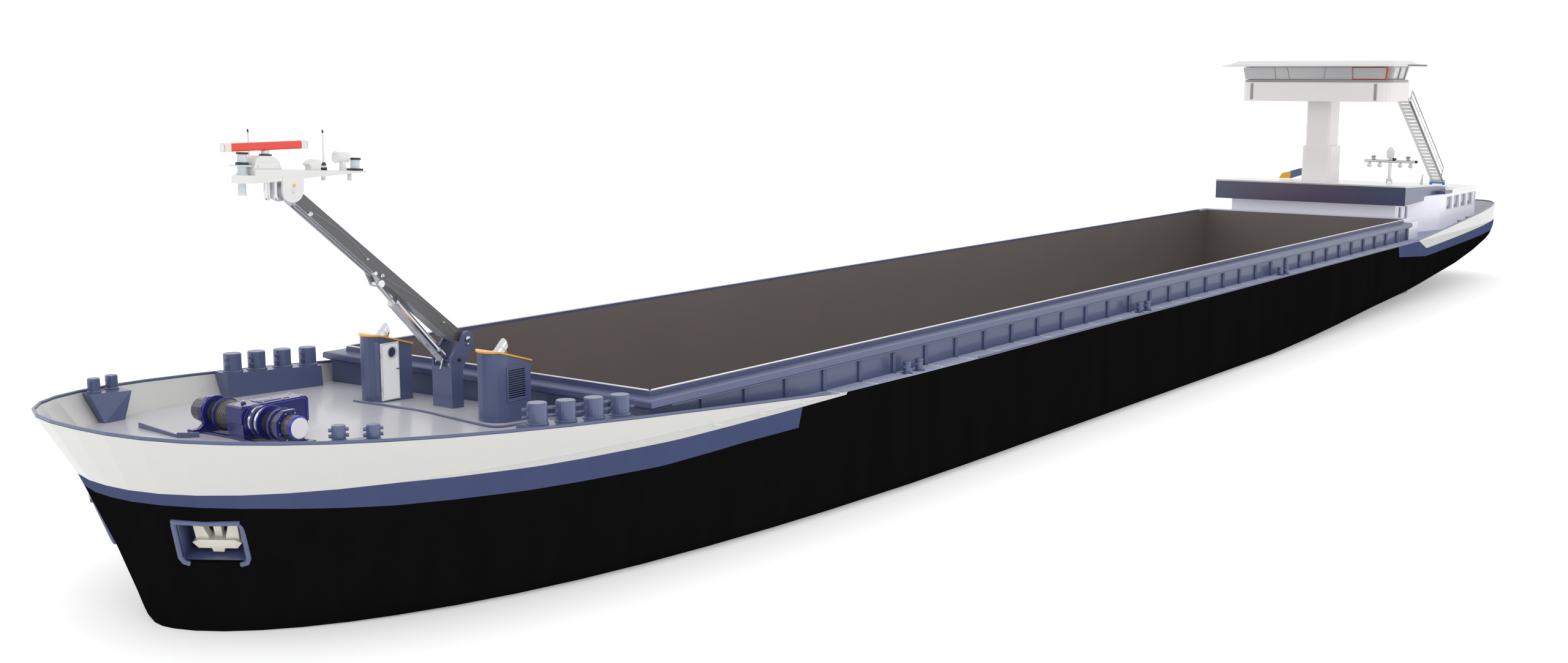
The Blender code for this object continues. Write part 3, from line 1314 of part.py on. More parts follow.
def main():
    clear_scene()
    frame = link(bpy.data.objects.new("ship_frame", None))
    middle = (BOW_END + STERN_END) / 2
    frame.scale = (MODEL_SCALE, MODEL_SCALE, MODEL_SCALE)
    frame.location = (-middle * MODEL_SCALE, 0.0, 0.0)

    # Fixed pieces: name, solid, colour
    fixed = (
        ("hull", hull(), "hull_black"),
        ("hold_plating", hold_plating(), "hold_brown"),
        ("hatch_coaming", hatch_coaming(), "deck_blue"),
        ("foredeck", foredeck(), "deck_grey"),
        ("bow_bulwark", bow_bulwark(), "white"),
        ("bow_rail", bow_rail(), "deck_blue"),
        ("stern_bulwark", stern_bulwark(), "white"),
        ("stern_rail", stern_rail(), "deck_blue"),
        ("mast_pedestal", mast_pedestal(), "deck_blue"),
        ("winch_frame", winch_frame(), "winch_navy"),
        ("house_grille", house_grille(), "deck_blue"),
        ("deckhouse", deckhouse(), "white"),
        ("deckhouse_roof", deckhouse_roof(), "white"),
        ("aft_mast_foot", aft_mast_foot(), "white"),
        ("crane_base", crane_base(), "deck_blue"),
        ("nozzle", nozzle(), "hull_black"),
    )
    for name, solid, colour in fixed:
        node(name, solid, colour, frame)
    for hand, side in (("port", 1), ("starboard", -1)):
        node("bollards_" + hand, large_bollards(side), "deck_blue", frame)
        node("bow_bollards_" + hand, small_bollards(side), "deck_blue", frame)
        node("anchor_frame_" + hand, pocket_frame(side, 0.0), "deck_blue", frame)
        node("anchor_" + hand, anchor(side), "cream", frame)
        node("bow_house_" + hand, bow_house(side), "deck_blue", frame)
        node("house_rim_" + hand, house_rim(side), "yellow", frame)
        node("house_pipe_" + hand, house_pipe(side), "chrome", frame)
        node("rudder_" + hand, rudder(side), "hull_black", frame, (RUDDER_X, side * RUDDER_Y, 1.5))

    # Moving pieces: name, solid, colour, pivot
    mast = (MAST_PIVOT[0], 0.0, MAST_PIVOT[1])
    head = (HEAD_PIVOT[0], 0.0, HEAD_PIVOT[1])
    foot = (CYLINDER_FOOT[0], 0.0, CYLINDER_FOOT[1])
    lift = (sum(COLUMN_X) / 2, 0.0, TRAY_Z)
    stair = (STAIR_TOP[0], sum(STAIR_Y) / 2, STAIR_TOP[1])
    moving = (
        ("house_door", house_door(), "white", (DOOR_X[1] + 0.02, -HOUSE_INNER + 0.04, DOOR_Z[0])),
        ("mast_boom", mast_boom(), "chrome", mast),
        ("mast_cylinder", mast_cylinder(), "chrome", foot),
        ("mast_rod", mast_rod(), "chrome", foot),
        ("mast_head", mast_head(), "white", head),
        ("mast_lantern_fore", mast_lantern_fore(), "white", head),
        ("mast_lantern_aft", mast_lantern_aft(), "white", head),
        ("radar_scanner", radar_scanner(), "red", (SCANNER[0], 0.0, SCANNER[1])),
        ("winch_shaft", winch_shaft(), "dark", (WINCH_X, 0.0, WINCH_Z)),
        ("lift_sleeve", lift_sleeve(), "white", lift),
        ("lift_column", lift_column(), "white", lift),
        ("wheelhouse_tray", wheelhouse_tray(), "white", lift),
        ("wheelhouse_frame", wheelhouse_frame(), "deck_grey", lift),
        ("wheelhouse_roof", wheelhouse_roof(), "white", lift),
        ("wheelhouse_console", wheelhouse_console(), "dark", lift),
        ("stairs", stairs(), "white", stair),
        ("aft_mast", aft_mast(), "white", (*AFT_MAST, AFT_MAST_HINGE_Z)),
        ("crane_post", crane_post(), "deck_blue", (*CRANE, 5.2)),
        ("crane_boom", crane_boom(), "deck_blue", (*CRANE, CRANE_HINGE_Z)),
        ("propeller", propeller(), "bronze", (PROP_X, 0.0, SHAFT_Z)),
    )
    for name, solid, colour, pivot in moving:
        node(name, solid, colour, frame, pivot)


main()
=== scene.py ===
from math import atan2, cos, hypot, pi, radians, sin

import bmesh
import bpy
from mathutils import Matrix, Vector


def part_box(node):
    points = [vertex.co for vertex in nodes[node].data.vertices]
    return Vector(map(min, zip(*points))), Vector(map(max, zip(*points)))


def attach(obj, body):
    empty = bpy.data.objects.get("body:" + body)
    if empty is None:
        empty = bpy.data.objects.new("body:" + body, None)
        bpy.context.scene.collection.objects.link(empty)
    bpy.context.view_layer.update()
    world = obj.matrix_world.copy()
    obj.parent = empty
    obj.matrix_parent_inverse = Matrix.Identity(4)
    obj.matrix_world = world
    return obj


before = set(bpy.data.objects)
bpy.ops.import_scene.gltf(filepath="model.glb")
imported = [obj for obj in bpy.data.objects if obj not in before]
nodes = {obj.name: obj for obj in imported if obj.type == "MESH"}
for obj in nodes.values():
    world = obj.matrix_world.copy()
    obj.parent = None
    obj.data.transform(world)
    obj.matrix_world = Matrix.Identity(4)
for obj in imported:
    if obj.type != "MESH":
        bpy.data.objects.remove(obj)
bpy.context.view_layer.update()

# Everything below is measured in metres of the real ship: x runs to the bow from the hold's front
# edge, y to port, z up from the keel. The model is half size, with its middle at the origin.
modelScale = 0.5
sternEnd = -65.5
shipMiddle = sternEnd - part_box("stern_bulwark")[0].x / modelScale
shipMatrix = (Matrix.Translation((-shipMiddle * modelScale, 0, 0))
              @ Matrix.Diagonal((modelScale,) * 3).to_4x4())
alongX, acrossY, upZ = (1, 0, 0), (0, 1, 0), (0, 0, 1)
bothSides = (1, -1)


# Camera

cameraSet = {"location": (26.835, 13.787, 5.145), "turn": (81.25, 0.0, 126.7), "lens": 38.71,
             "sensor": 36.0, "reach": 400.0}

cameraData = bpy.data.cameras.new("shipCamera")
cameraData.lens = cameraSet["lens"]
cameraData.sensor_width = cameraSet["sensor"]
cameraData.clip_end = cameraSet["reach"]
camera = bpy.data.objects.new("shipCamera", cameraData)
camera.location = cameraSet["location"]
camera.rotation_euler = [radians(angle) for angle in cameraSet["turn"]]
bpy.context.scene.collection.objects.link(camera)
bpy.context.scene.camera = camera
print("camera in place")


# Shader maths

class Value:
    # A socket that takes part in Python arithmetic
    def __init__(self, paint, socket):
        self.paint = paint
        self.socket = socket

    def maths(self, operation, *others):
        return self.paint.node("ShaderNodeMath", {"operation": operation}, [self, *others])

    def __add__(self, other):
        return self.maths("ADD", other)

    def __sub__(self, other):
        return self.maths("SUBTRACT", other)

    def __mul__(self, other):
        return self.maths("MULTIPLY", other)

    def __truediv__(self, other):
        return self.maths("DIVIDE", other)

    def __gt__(self, other):
        return self.maths("GREATER_THAN", other)

    def __lt__(self, other):
        return self.maths("LESS_THAN", other)

    def __abs__(self):
        return self.maths("ABSOLUTE")

    def inside(self, low, high):
        # 1 between the two numbers, 0 elsewhere
        return (self > low) * (self < high)


class Paint:
    # One material: constants go on its own shader, and what varies is linked to it
    def __init__(self, name, constants):
        self.material = bpy.data.materials.new(name)
        self.material.use_nodes = True
        self.tree = self.material.node_tree
        self.shader = self.tree.nodes["Principled BSDF"]
        for socket, value in constants.items():
            self.shader.inputs[socket].default_value = value
        self.spot = self.node("ShaderNodeTexCoord", output="Object")

    def node(self, kind, settings=None, inputs=None, output=0):
        made = self.tree.nodes.new(kind)
        for name, value in (settings or {}).items():
            if name == "stops":
                setStops(made.color_ramp, value)
            else:
                setattr(made, name, value)
        pairs = inputs.items() if isinstance(inputs, dict) else enumerate(inputs or [])
        for key, value in pairs:
            if isinstance(value, Value):
                self.tree.links.new(value.socket, made.inputs[key])
            else:
                made.inputs[key].default_value = value
        return Value(self, made.outputs[output])

    def noise(self, scale, detail=2.0, rough=0.5, stretch=None):
        spot = self.spot
        if stretch:
            spot = self.node("ShaderNodeMapping", {}, {"Vector": spot, "Scale": stretch})
        return self.node("ShaderNodeTexNoise", {}, {
            "Vector": spot, "Scale": scale, "Detail": detail, "Roughness": rough})

    def ramp(self, value, stops):
        return self.node("ShaderNodeValToRGB", {"stops": stops}, [value])

    def mix(self, factor, first, second):
        # 6 and 7 are the Mix node's two colours, and 2 is the colour it gives
        return self.node("ShaderNodeMix", {"data_type": "RGBA"}, {0: factor, 6: first, 7: second}, 2)

    def patchy(self, patches, colour, vary):
        return self.mix(patches, shaded(colour, 1 - vary), shaded(colour, 1 + vary))

    def bump(self, height, strength, distance=0.001):
        self.feed("Normal", self.node("ShaderNodeBump", {}, {
            "Strength": strength, "Distance": distance, "Height": height}))

    def feed(self, socket, value):
        self.tree.links.new(value.socket, self.shader.inputs[socket])

    def axis(self, name):
        return self.node("ShaderNodeSeparateXYZ", {}, [self.spot], name)

    def ship(self, name, centre=None):
        # A coordinate in ship metres: a moving node's own origin is added back
        shift = shipMiddle if name == "X" else 0.0
        if centre is not None:
            shift += getattr(centre, name.lower()) / modelScale
        return self.axis(name) / modelScale + shift


def setStops(ramp, stops):
    # Stops are (place, colour), or (place, number) for a grey
    while len(ramp.elements) > 1:
        ramp.elements.remove(ramp.elements[-1])
    for index, (where, colour) in enumerate(stops):
        element = ramp.elements[0] if index == 0 else ramp.elements.new(where)
        element.position = where
        element.color = (colour,) * 3 + (1.0,) if isinstance(colour, (int, float)) else colour


def sheet(hexText):
    # A linear colour from the hex text of a painted sheet's colour
    channels = [int(hexText[k:k + 2], 16) / 255 for k in (0, 2, 4)]
    linear = [c / 12.92 if c <= 0.04045 else ((c + 0.055) / 1.055) ** 2.4 for c in channels]
    return (*linear, 1.0)


def shaded(colour, factor):
    return (*[min(1.0, c * factor) for c in colour[:3]], 1.0)


# Paints. Each noise is given as scale, detail and roughness.

spraySet = {"patches": (0.9, 4.0, 0.6), "fine": (60.0, 2.0), "fineShare": 0.05, "coatRough": 0.12}


def marinePaint(name, hexText, rough=0.3, spread=0.08, coat=0.3, vary=0.06, peel=0.12, paintedLight=0.0):
    # Sprayed paint on plate: faint patches, fine orange peel and a duller bloom here and there. The
    # emission makes the paint glow evenly in its own colour: painted light that lifts its shade.
    colour = sheet(hexText)
    paint = Paint(name, {"Coat Weight": coat, "Coat Roughness": spraySet["coatRough"],
                         "Emission Color": colour, "Emission Strength": paintedLight})
    patches = paint.noise(*spraySet["patches"])
    fine = paint.noise(*spraySet["fine"])
    paint.feed("Base Color", paint.patchy(patches, colour, vary))
    paint.feed("Roughness", patches * spread + fine * spraySet["fineShare"] + (rough - spread / 2))
    paint.bump(fine, peel)
    return paint.material


metalSet = {
    "grain": (9.0, 3.0, 0.6), "grainStretch": (1.0, 40.0, 40.0),
    "smudge": (2.5, 3.0, 0.6), "smudgeTones": (0.9, 1.06), "smudgeShare": 0.06,
    "peel": 0.06,
}


def brushedMetal(name, hexText, rough=0.22, spread=0.18):
    colour = sheet(hexText)
    paint = Paint(name, {"Metallic": 1.0})
    grain = paint.noise(*metalSet["grain"], stretch=metalSet["grainStretch"])
    smudge = paint.noise(*metalSet["smudge"])
    tones = [shaded(colour, factor) for factor in metalSet["smudgeTones"]]
    paint.feed("Base Color", paint.mix(smudge, *tones))
    paint.feed("Roughness", grain * spread + (rough - spread / 2) + smudge * metalSet["smudgeShare"])
    paint.bump(grain, metalSet["peel"])
    return paint.material


# Hull paint: the bands' lower edges are x, z pairs, within the reach of x and z
bandSet = {
    "white": ((-64.0, 2.90), (-63.1, 2.87), (-56.7, 2.65), (-51.5, 2.50), (-50.3, 2.94),
              (-49.9, 3.4), (-6.2, 3.4), (-6.15, 2.84), (-4.33, 2.80), (-0.29, 2.73),
              (3.18, 2.78), (6.2, 2.90), (7.65, 3.00), (8.63, 3.08), (9.39, 3.11), (10.0, 3.13)),
    "blue": ((-64.0, 2.42), (-62.4, 2.38), (-56.8, 2.27), (-51.5, 2.15), (-47.5, 2.44),
             (-47.4, 2.94), (-47.3, 3.4), (-4.4, 3.4), (-4.36, 2.34), (-2.59, 2.32),
             (0.04, 2.23), (3.36, 2.31), (6.11, 2.44), (7.18, 2.53), (8.05, 2.61), (9.0, 2.66),
             (10.0, 2.67)),
    "x": (-66.0, 10.0),
    "z": (2.0, 3.4),
    "deck": 2.897,
}
hullSet = {
    "patches": (0.7, 5.0, 0.6), "patchShare": 0.10,
    "streaks": (1.1, 4.0, 0.6), "streakStretch": (3.0, 3.0, 0.35),
    "fine": (55.0, 2.0), "fineShare": 0.04,
    "rough": 0.36, "peel": 0.10,
    "white": ("c3c3c0", "cbcbc8"),
    "blue": ("414968", "485273"),
    "black": ("0b0b0c", "121213"),
    "deck": ("9ca2bd", "b0b5c8"),
}


def bandShare(value, name):
    # A number or a socket as a share of the bands' reach
    low, high = bandSet[name]
    return (value - low) / (high - low)


def bandEdge(paint, along, name):
    return paint.ramp(along, [(bandShare(x, "x"), bandShare(z, "z")) for x, z in bandSet[name]])


def hullPaint():
    paint = Paint("hullPaint", {"Coat Weight": 0.0, "Specular IOR Level": 0.0})
    along = bandShare(paint.ship("X"), "x")
    height = bandShare(paint.ship("Z"), "z")
    patches = paint.noise(*hullSet["patches"])
    streaks = paint.noise(*hullSet["streaks"], stretch=hullSet["streakStretch"])
    fine = paint.noise(*hullSet["fine"])
    white, blue, black = [paint.mix(streaks, *map(sheet, hullSet[name]))
                          for name in ("white", "blue", "black")]
    deck = paint.mix(patches, *map(sheet, hullSet["deck"]))
    inBlue = height > bandEdge(paint, along, "blue")
    inWhite = height > bandEdge(paint, along, "white")
    onDeck = paint.ship("Z") > bandSet["deck"]
    bands = paint.mix(inWhite, paint.mix(inBlue, black, blue), white)
    paint.feed("Base Color", paint.mix(onDeck, bands, deck))
    paint.feed("Roughness", patches * hullSet["patchShare"] + fine * hullSet["fineShare"]
               + hullSet["rough"])
    paint.bump(fine, hullSet["peel"])
    return paint.material


twoToneSet = {"vary": 0.05, "patchShare": 0.08, "polish": 0.05, "coatRough": 0.1}


def twoTone(name, first, second, choose, rough=0.3, metallic=0.0, coat=0.3, peel=0.10):
    # Two paints on one node; choose gives 1 where the second one lies
    paint = Paint(name, {"Metallic": metallic, "Coat Weight": coat,
                         "Coat Roughness": twoToneSet["coatRough"]})
    patches = paint.noise(*spraySet["patches"])
    fine = paint.noise(*spraySet["fine"])
    tones = []
    for tone in (first, second):
        if callable(tone):
            tones.append(tone(paint))
        else:
            tones.append(paint.patchy(patches, sheet(tone), twoToneSet["vary"]))
    paint.feed("Base Color", paint.mix(choose(paint), *tones))
    paint.feed("Roughness", patches * twoToneSet["patchShare"] + fine * spraySet["fineShare"]
               + (rough - twoToneSet["polish"]))
    paint.bump(fine, peel)
    return paint.material


# Where the second tone lies. The fascia's reach is its length, width and height.
toneSet = {
    "discs": ((-2.0, -1.45), (-0.97, -0.91), (-0.635, -0.57), (0.385, 0.435), (0.565, 0.61),
              (0.75, 0.81), (1.065, 1.14)),
    "boomSide": 0.166,
    "coamingEnd": -50.9,
    "hook": -2.95,
    "fasciaFrom": -66.0,
    "fasciaReach": (14.0, 12.0, 6.0),
    "fasciaEdge": ((0.0, 4.0), (0.54, 4.0), (0.5401, 4.80), (0.643, 4.93), (0.99, 5.11)),
    # The fascia's tones across its width; the lighter band at each corner is a painted highlight
    "fasciaTones": ((0.0, "46496a"), (0.10, "525f88"), (0.125, "3e4260"), (0.35, "4a405a"),
                    (0.60, "473f5a"), (0.80, "3c4260"), (0.872, "3a4262"), (0.885, "525f88"),
                    (0.897, "525f88"), (0.903, "20263f")),
}


def origin(name):
    return nodes[name].matrix_world.translation


def onDiscs(paint):
    # The winch's discs are navy between dark drums
    across = paint.ship("Y", origin("winch_shaft"))
    spots = [across.inside(low, high) for low, high in toneSet["discs"]]
    total = spots[0]
    for spot in spots[1:]:
        total = total + spot
    return total


def onFascia(paint):
    # Below the roof's white edge, as far aft as the slope's end
    length, _, height = toneSet["fasciaReach"]
    edge = paint.ramp((paint.ship("X") - toneSet["fasciaFrom"]) / length,
                      [(where, z / height) for where, z in toneSet["fasciaEdge"]])
    return edge * height > paint.ship("Z")


def fasciaTone(paint):
    # Purple to starboard, blue to port, with a lighter band at each corner as a painted highlight
    across = paint.ship("Y") / toneSet["fasciaReach"][1] + 0.5
    return paint.ramp(across, [(where, sheet(tone)) for where, tone in toneSet["fasciaTones"]])


def onBoomSides(paint):
    return abs(paint.ship("Y")) > toneSet["boomSide"]


def onCoamingEnd(paint):
    return paint.ship("X") < toneSet["coamingEnd"]


def onHook(paint):
    return paint.ship("Y", origin("crane_boom")) < toneSet["hook"]


paints = {
    "hull": hullPaint(),
    "white": marinePaint("whitePaint", "dddddc", rough=0.34, vary=0.03),
    "blue": marinePaint("bluePaint", "525c80", rough=0.30),
    "navy": marinePaint("winchPaint", "23236e", rough=0.24, coat=0.6),
    "deck": marinePaint("deckPaint", "c2c2c7", rough=0.34, spread=0.10, coat=0.35, vary=0.03,
                        peel=0.05),
    "hold": marinePaint("holdPaint", "6e6664", rough=0.42, spread=0.12, coat=0.1, vary=0.08),
    "yellow": marinePaint("rimPaint", "f0ae20", rough=0.30, vary=0.04),
    "cream": marinePaint("anchorPaint", "e3dfd2", rough=0.36, vary=0.04),
    "drum": twoTone("drumPaint", "4a4a4c", "20206a", onDiscs, rough=0.32),
    "fascia": twoTone("roofPaint", "e9e9ea", fasciaTone, onFascia, rough=0.32),
    "coaming": twoTone("coamingPaint", "4a5377", "dfe0ec", onCoamingEnd, rough=0.42),
    "crane": twoTone("cranePaint", "4f5a82", "eca820", onHook, rough=0.3),
    "red": marinePaint("scannerPaint", "e04030", rough=0.32, vary=0.03),
    "black": marinePaint("blackPaint", "141415", rough=0.34),
    "boom": twoTone("boomPaint", "b4b6ba", "606062", onBoomSides, rough=0.30, metallic=0.30,
                    coat=0.1, peel=0.02),
    "chrome": brushedMetal("polishedChrome", "d6d8dc", rough=0.10, spread=0.06),
    "bronze": brushedMetal("propellerBronze", "b08a4a", rough=0.28),
    "lantern": marinePaint("lanternGlass", "c4d0d6", rough=0.12, coat=0.8),
    # Window glass that glows: painted light that lifts the roof's shadow on the panes
    "glass": marinePaint("windowGlass", "a2a2a4", rough=0.12, coat=0.4, vary=0.02, peel=0.01,
                         paintedLight=0.32),
    "darkGlass": marinePaint("cabinGlass", "4c4c60", rough=0.08, coat=0.9, vary=0.05, peel=0.01),
    "signal": marinePaint("windowRed", "c83c34", rough=0.3),
    "roller": marinePaint("rollerBlue", "3f86f0", rough=0.3),
    # Bright white: painted highlights on the side decks and along the coaming's top; also the winch
    # head's cap
    "tick": marinePaint("tickWhite", "f4f4f6", rough=0.3),
    # Bright blue: painted highlights on the winch's head ring, disc rims and the gearbox's arched
    # edges
    "edge": marinePaint("winchHighlightBlue", "2c2cae", rough=0.2, coat=0.7),
    # Dark blue: painted shade at the back of the anchor pockets, and the door's porthole glass
    "inner": marinePaint("recessBlue", "303756", rough=0.4),
    "grey": marinePaint("frameGrey", "8f8f90", rough=0.35),
    # The deckhouse wall glows: painted light that lifts the shade under the roof's overhang
    "wall": marinePaint("wallPaint", "dcdbe6", rough=0.36, vary=0.02, paintedLight=0.22),
    # The lift and the wheelhouse tray glow a little: painted light that lifts their shade
    "lift": marinePaint("liftPaint", "dedad9", rough=0.36, vary=0.02, paintedLight=0.06),
    "rope": marinePaint("drumGrey", "4a4a4c", rough=0.4),
    "bulwark": marinePaint("bulwarkPaint", "cacac7", rough=0.34, vary=0.02),
    # The door glows: painted light that lifts the shade on its face
    "door": marinePaint("doorPaint", "ececec", rough=0.34, vary=0.02, paintedLight=0.2),
}
print("paints mixed")

nodePaints = {
    "hull": ("hull",),
    "hold": ("hold_plating",),
    "coaming": ("hatch_coaming",),
    "deck": ("foredeck",),
    "bulwark": ("bow_bulwark", "stern_bulwark"),
    "blue": ("bow_rail", "stern_rail", "mast_pedestal", "house_grille", "bollards_port",
             "bollards_starboard", "bow_bollards_port", "bow_bollards_starboard",
             "anchor_frame_port", "anchor_frame_starboard", "bow_house_port",
             "bow_house_starboard"),
    "navy": ("winch_frame",),
    "drum": ("winch_shaft",),
    "cream": ("anchor_port", "anchor_starboard"),
    "yellow": ("house_rim_port", "house_rim_starboard"),
    "chrome": ("house_pipe_port", "house_pipe_starboard", "mast_cylinder", "mast_rod"),
    "door": ("house_door",),
    "boom": ("mast_boom",),
    "white": ("mast_head", "aft_mast_foot", "crane_base", "crane_post", "wheelhouse_roof",
              "stairs", "aft_mast"),
    "lantern": ("mast_lantern_fore", "mast_lantern_aft"),
    "red": ("radar_scanner",),
    "wall": ("deckhouse",),
    "fascia": ("deckhouse_roof",),
    "lift": ("lift_sleeve", "lift_column", "wheelhouse_tray"),
    "grey": ("wheelhouse_frame",),
    "crane": ("crane_boom",),
    "black": ("nozzle", "rudder_port", "rudder_starboard", "wheelhouse_console"),
    "bronze": ("propeller",),
}
paintOf = {name: key for key, names in nodePaints.items() for name in names}
for name, node in nodes.items():
    node.data.materials.clear()
    node.data.materials.append(paints[paintOf[name]])
print("frame painted")


# Shapes for the fittings, all in ship metres

def facesOf(verts):
    return {face for vert in verts for face in vert.link_faces}


def setSlot(faces, slot):
    for face in faces:
        face.material_index = slot


def roundEdges(shape, edges, offset):
    bmesh.ops.bevel(shape, geom=list(edges), offset=offset, segments=2, profile=0.5,
                    affect="EDGES", material=-1)


def turnTo(direction):
    return Vector(direction).to_track_quat("Z", "Y").to_matrix().to_4x4()


def span(side, near, far):
    # Two places on one side of the middle, the lower first
    return sorted((side * near, side * far))


def shifted(profile, start):
    return [(start + along, radius) for along, radius in profile]


def addBox(shape, low, high, edge, slot=0, matrix=Matrix.Identity(4)):
    low, high = Vector(low), Vector(high)
    middle = Matrix.Translation((low + high) / 2) @ Matrix.Diagonal((*(high - low), 1.0))
    made = bmesh.ops.create_cube(shape, size=1.0, matrix=matrix @ middle)
    faces = facesOf(made["verts"])
    setSlot(faces, slot)
    roundEdges(shape, {side for face in faces for side in face.edges}, edge)


def addRod(shape, start, end, radius, sides=20, slot=0, edge=0.006):
    start, end = Vector(start), Vector(end)
    line = end - start
    matrix = Matrix.Translation((start + end) / 2) @ turnTo(line)
    made = bmesh.ops.create_cone(shape, cap_ends=True, segments=sides, radius1=radius,
                                 radius2=radius, depth=line.length, matrix=matrix)
    faces = facesOf(made["verts"])
    setSlot(faces, slot)
    rims = {rim for face in faces if len(face.verts) > 4 for rim in face.edges}
    roundEdges(shape, rims, edge)


def addTurned(shape, profile, spot, axis=upZ, slot=0, steps=24):
    # A profile of places along the axis and their radii, turned about it
    before = set(shape.faces)
    matrix = Matrix.Translation(spot) @ turnTo(axis)
    verts = [shape.verts.new(matrix @ Vector((radius, 0, along))) for along, radius in profile]
    edges = [shape.edges.new(pair) for pair in zip(verts, verts[1:])]
    bmesh.ops.spin(shape, geom=verts + edges, cent=Vector(spot), axis=Vector(axis).normalized(),
                   angle=2 * pi, steps=steps, use_merge=True)
    made = set(shape.faces) - before
    setSlot(made, slot)
    bmesh.ops.remove_doubles(shape, verts=list({vert for face in made for vert in face.verts}),
                             dist=0.0001)


def addPlate(shape, outline, depth, slot=0):
    # A flat outline pushed along a vector
    before = set(shape.faces)
    face = shape.faces.new([shape.verts.new(point) for point in outline])
    pushed = bmesh.ops.extrude_face_region(shape, geom=[face])
    verts = [item for item in pushed["geom"] if isinstance(item, bmesh.types.BMVert)]
    bmesh.ops.translate(shape, vec=depth, verts=verts)
    setSlot(set(shape.faces) - before, slot)


def addPath(shape, points, radius, sides=8, slot=0):
    # A round bar along a path
    points = [Vector(point) for point in points]
    before = set(shape.faces)
    loops = []
    for index, point in enumerate(points):
        ahead = points[min(index + 1, len(points) - 1)] - points[max(index - 1, 0)]
        matrix = Matrix.Translation(point) @ turnTo(ahead)
        made = bmesh.ops.create_circle(shape, cap_ends=index in (0, len(points) - 1),
                                       segments=sides, radius=radius, matrix=matrix)
        loops.append({edge for vert in made["verts"] for edge in vert.link_edges})
    for first, second in zip(loops, loops[1:]):
        bmesh.ops.bridge_loops(shape, edges=list(first | second))
    setSlot(set(shape.faces) - before, slot)


def fitted(name, body, shape, finish, turn=None):
    # A finished piece in its place, riding on its body
    if turn is not None:
        shape.transform(turn)
    shape.transform(shipMatrix)
    bmesh.ops.recalc_face_normals(shape, faces=shape.faces)
    mesh = bpy.data.meshes.new(name)
    shape.to_mesh(mesh)
    shape.free()
    for key in finish:
        mesh.materials.append(paints[key])
    mesh.polygons.foreach_set("use_smooth", [True] * len(mesh.polygons))
    mesh.set_sharp_from_angle(angle=radians(32))
    made = bpy.data.objects.new(name, mesh)
    bpy.context.scene.collection.objects.link(made)
    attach(made, body)
    return made


# Foredeck: the low curb round the port house, and the slim plate near the bow

foredeckSet = {
    "height": 3.0, "rise": 0.045, "camber": 0.02,
    "curb": ((2.12, -2.06), (2.116, -0.8), (2.114, 0.384), (2.207, 1.435), (2.245, 2.212),
             (2.235, 2.38), (2.179, 2.504), (2.06, 2.56), (1.9, 2.573), (1.47, 2.6), (0.95, 2.63)),
    "curbLift": 0.02, "curbRadius": 0.028, "curbSides": 10,
    "plate": ((7.14, -2.46), (7.35, -0.85), (7.27, -0.72), (7.07, -0.57)),
    "plateHeight": 0.10, "plateHalf": 0.02, "plateOverlap": 0.01, "plateEdge": 0.008,
}


def deckLevel(x, y):
    return foredeckSet["height"] + foredeckSet["rise"] * x - foredeckSet["camber"] * abs(y)


def makeForedeck():
    shape = bmesh.new()
    curb = [(x, y, deckLevel(x, y) + foredeckSet["curbLift"]) for x, y in foredeckSet["curb"]]
    addPath(shape, curb, foredeckSet["curbRadius"], foredeckSet["curbSides"])
    spots, half, over = [foredeckSet[key] for key in ("plate", "plateHalf", "plateOverlap")]
    for (x, y), (endX, endY) in zip(spots, spots[1:]):
        heading = atan2(endY - y, endX - x)
        reach = hypot(endX - x, endY - y)
        matrix = Matrix.Translation((x, y, deckLevel(x, y))) @ Matrix.Rotation(heading, 4, "Z")
        addBox(shape, (-over, -half, 0.0), (reach + over, half, foredeckSet["plateHeight"]),
               foredeckSet["plateEdge"], 0, matrix)
    fitted("foredeckCurb", "barge", shape, ["blue"])


# Winch: head, brake rings, wire, and bright blue rings on the head and the discs' rims as painted
# highlights. Profiles run along the shaft.

winchSet = {
    "centre": (6.40, 0, 3.655),
    "head": ((1.585, 0.205), (1.60, 0.235), (1.625, 0.235), (1.64, 0.205), (1.655, 0.19)),
    "headCap": ((1.662, 0.198), (1.672, 0.196), (1.676, 0.17), (1.672, 0.13), (1.668, 0.0)),
    "brakes": (0.455, 0.655),
    "brake": ((0.0, 0.281), (0.005, 0.296), (0.07, 0.296), (0.075, 0.281)),
    "wireStart": -0.56, "wirePitch": 0.065, "wireTurns": 6,
    "wire": ((0.0, 0.28), (0.012, 0.289), (0.04, 0.289), (0.052, 0.28)),
    "discs": (-0.94, -0.60, 0.41, 0.59, 0.78, 1.10),
    "disc": ((-0.01, 0.331), (0.0, 0.337), (0.01, 0.331), (0.0, 0.326), (-0.01, 0.331)),
}


def makeWinch():
    centre = winchSet["centre"]
    shape = bmesh.new()
    addTurned(shape, winchSet["head"], centre, acrossY, 1, 40)
    addTurned(shape, winchSet["headCap"], centre, acrossY, 0, 40)
    for start in winchSet["brakes"]:
        addTurned(shape, shifted(winchSet["brake"], start), centre, acrossY, 2, 40)
    for k in range(winchSet["wireTurns"]):
        start = winchSet["wireStart"] + winchSet["wirePitch"] * k
        addTurned(shape, shifted(winchSet["wire"], start), centre, acrossY, 3, 28)
    for middle in winchSet["discs"]:
        addTurned(shape, shifted(winchSet["disc"], middle), centre, acrossY, 1, 36)
    fitted("winchRings", "winch", shape, ["tick", "edge", "chrome", "rope"])


# The winch's frame: bearing bolts, the gearbox's bolts, lid and breather, and two bent bright blue
# bars along the gearbox's arched edges as painted highlights.
# Bearings are y and how far the bolts stand out; the breather's parts z, z, radius, sides, slot.

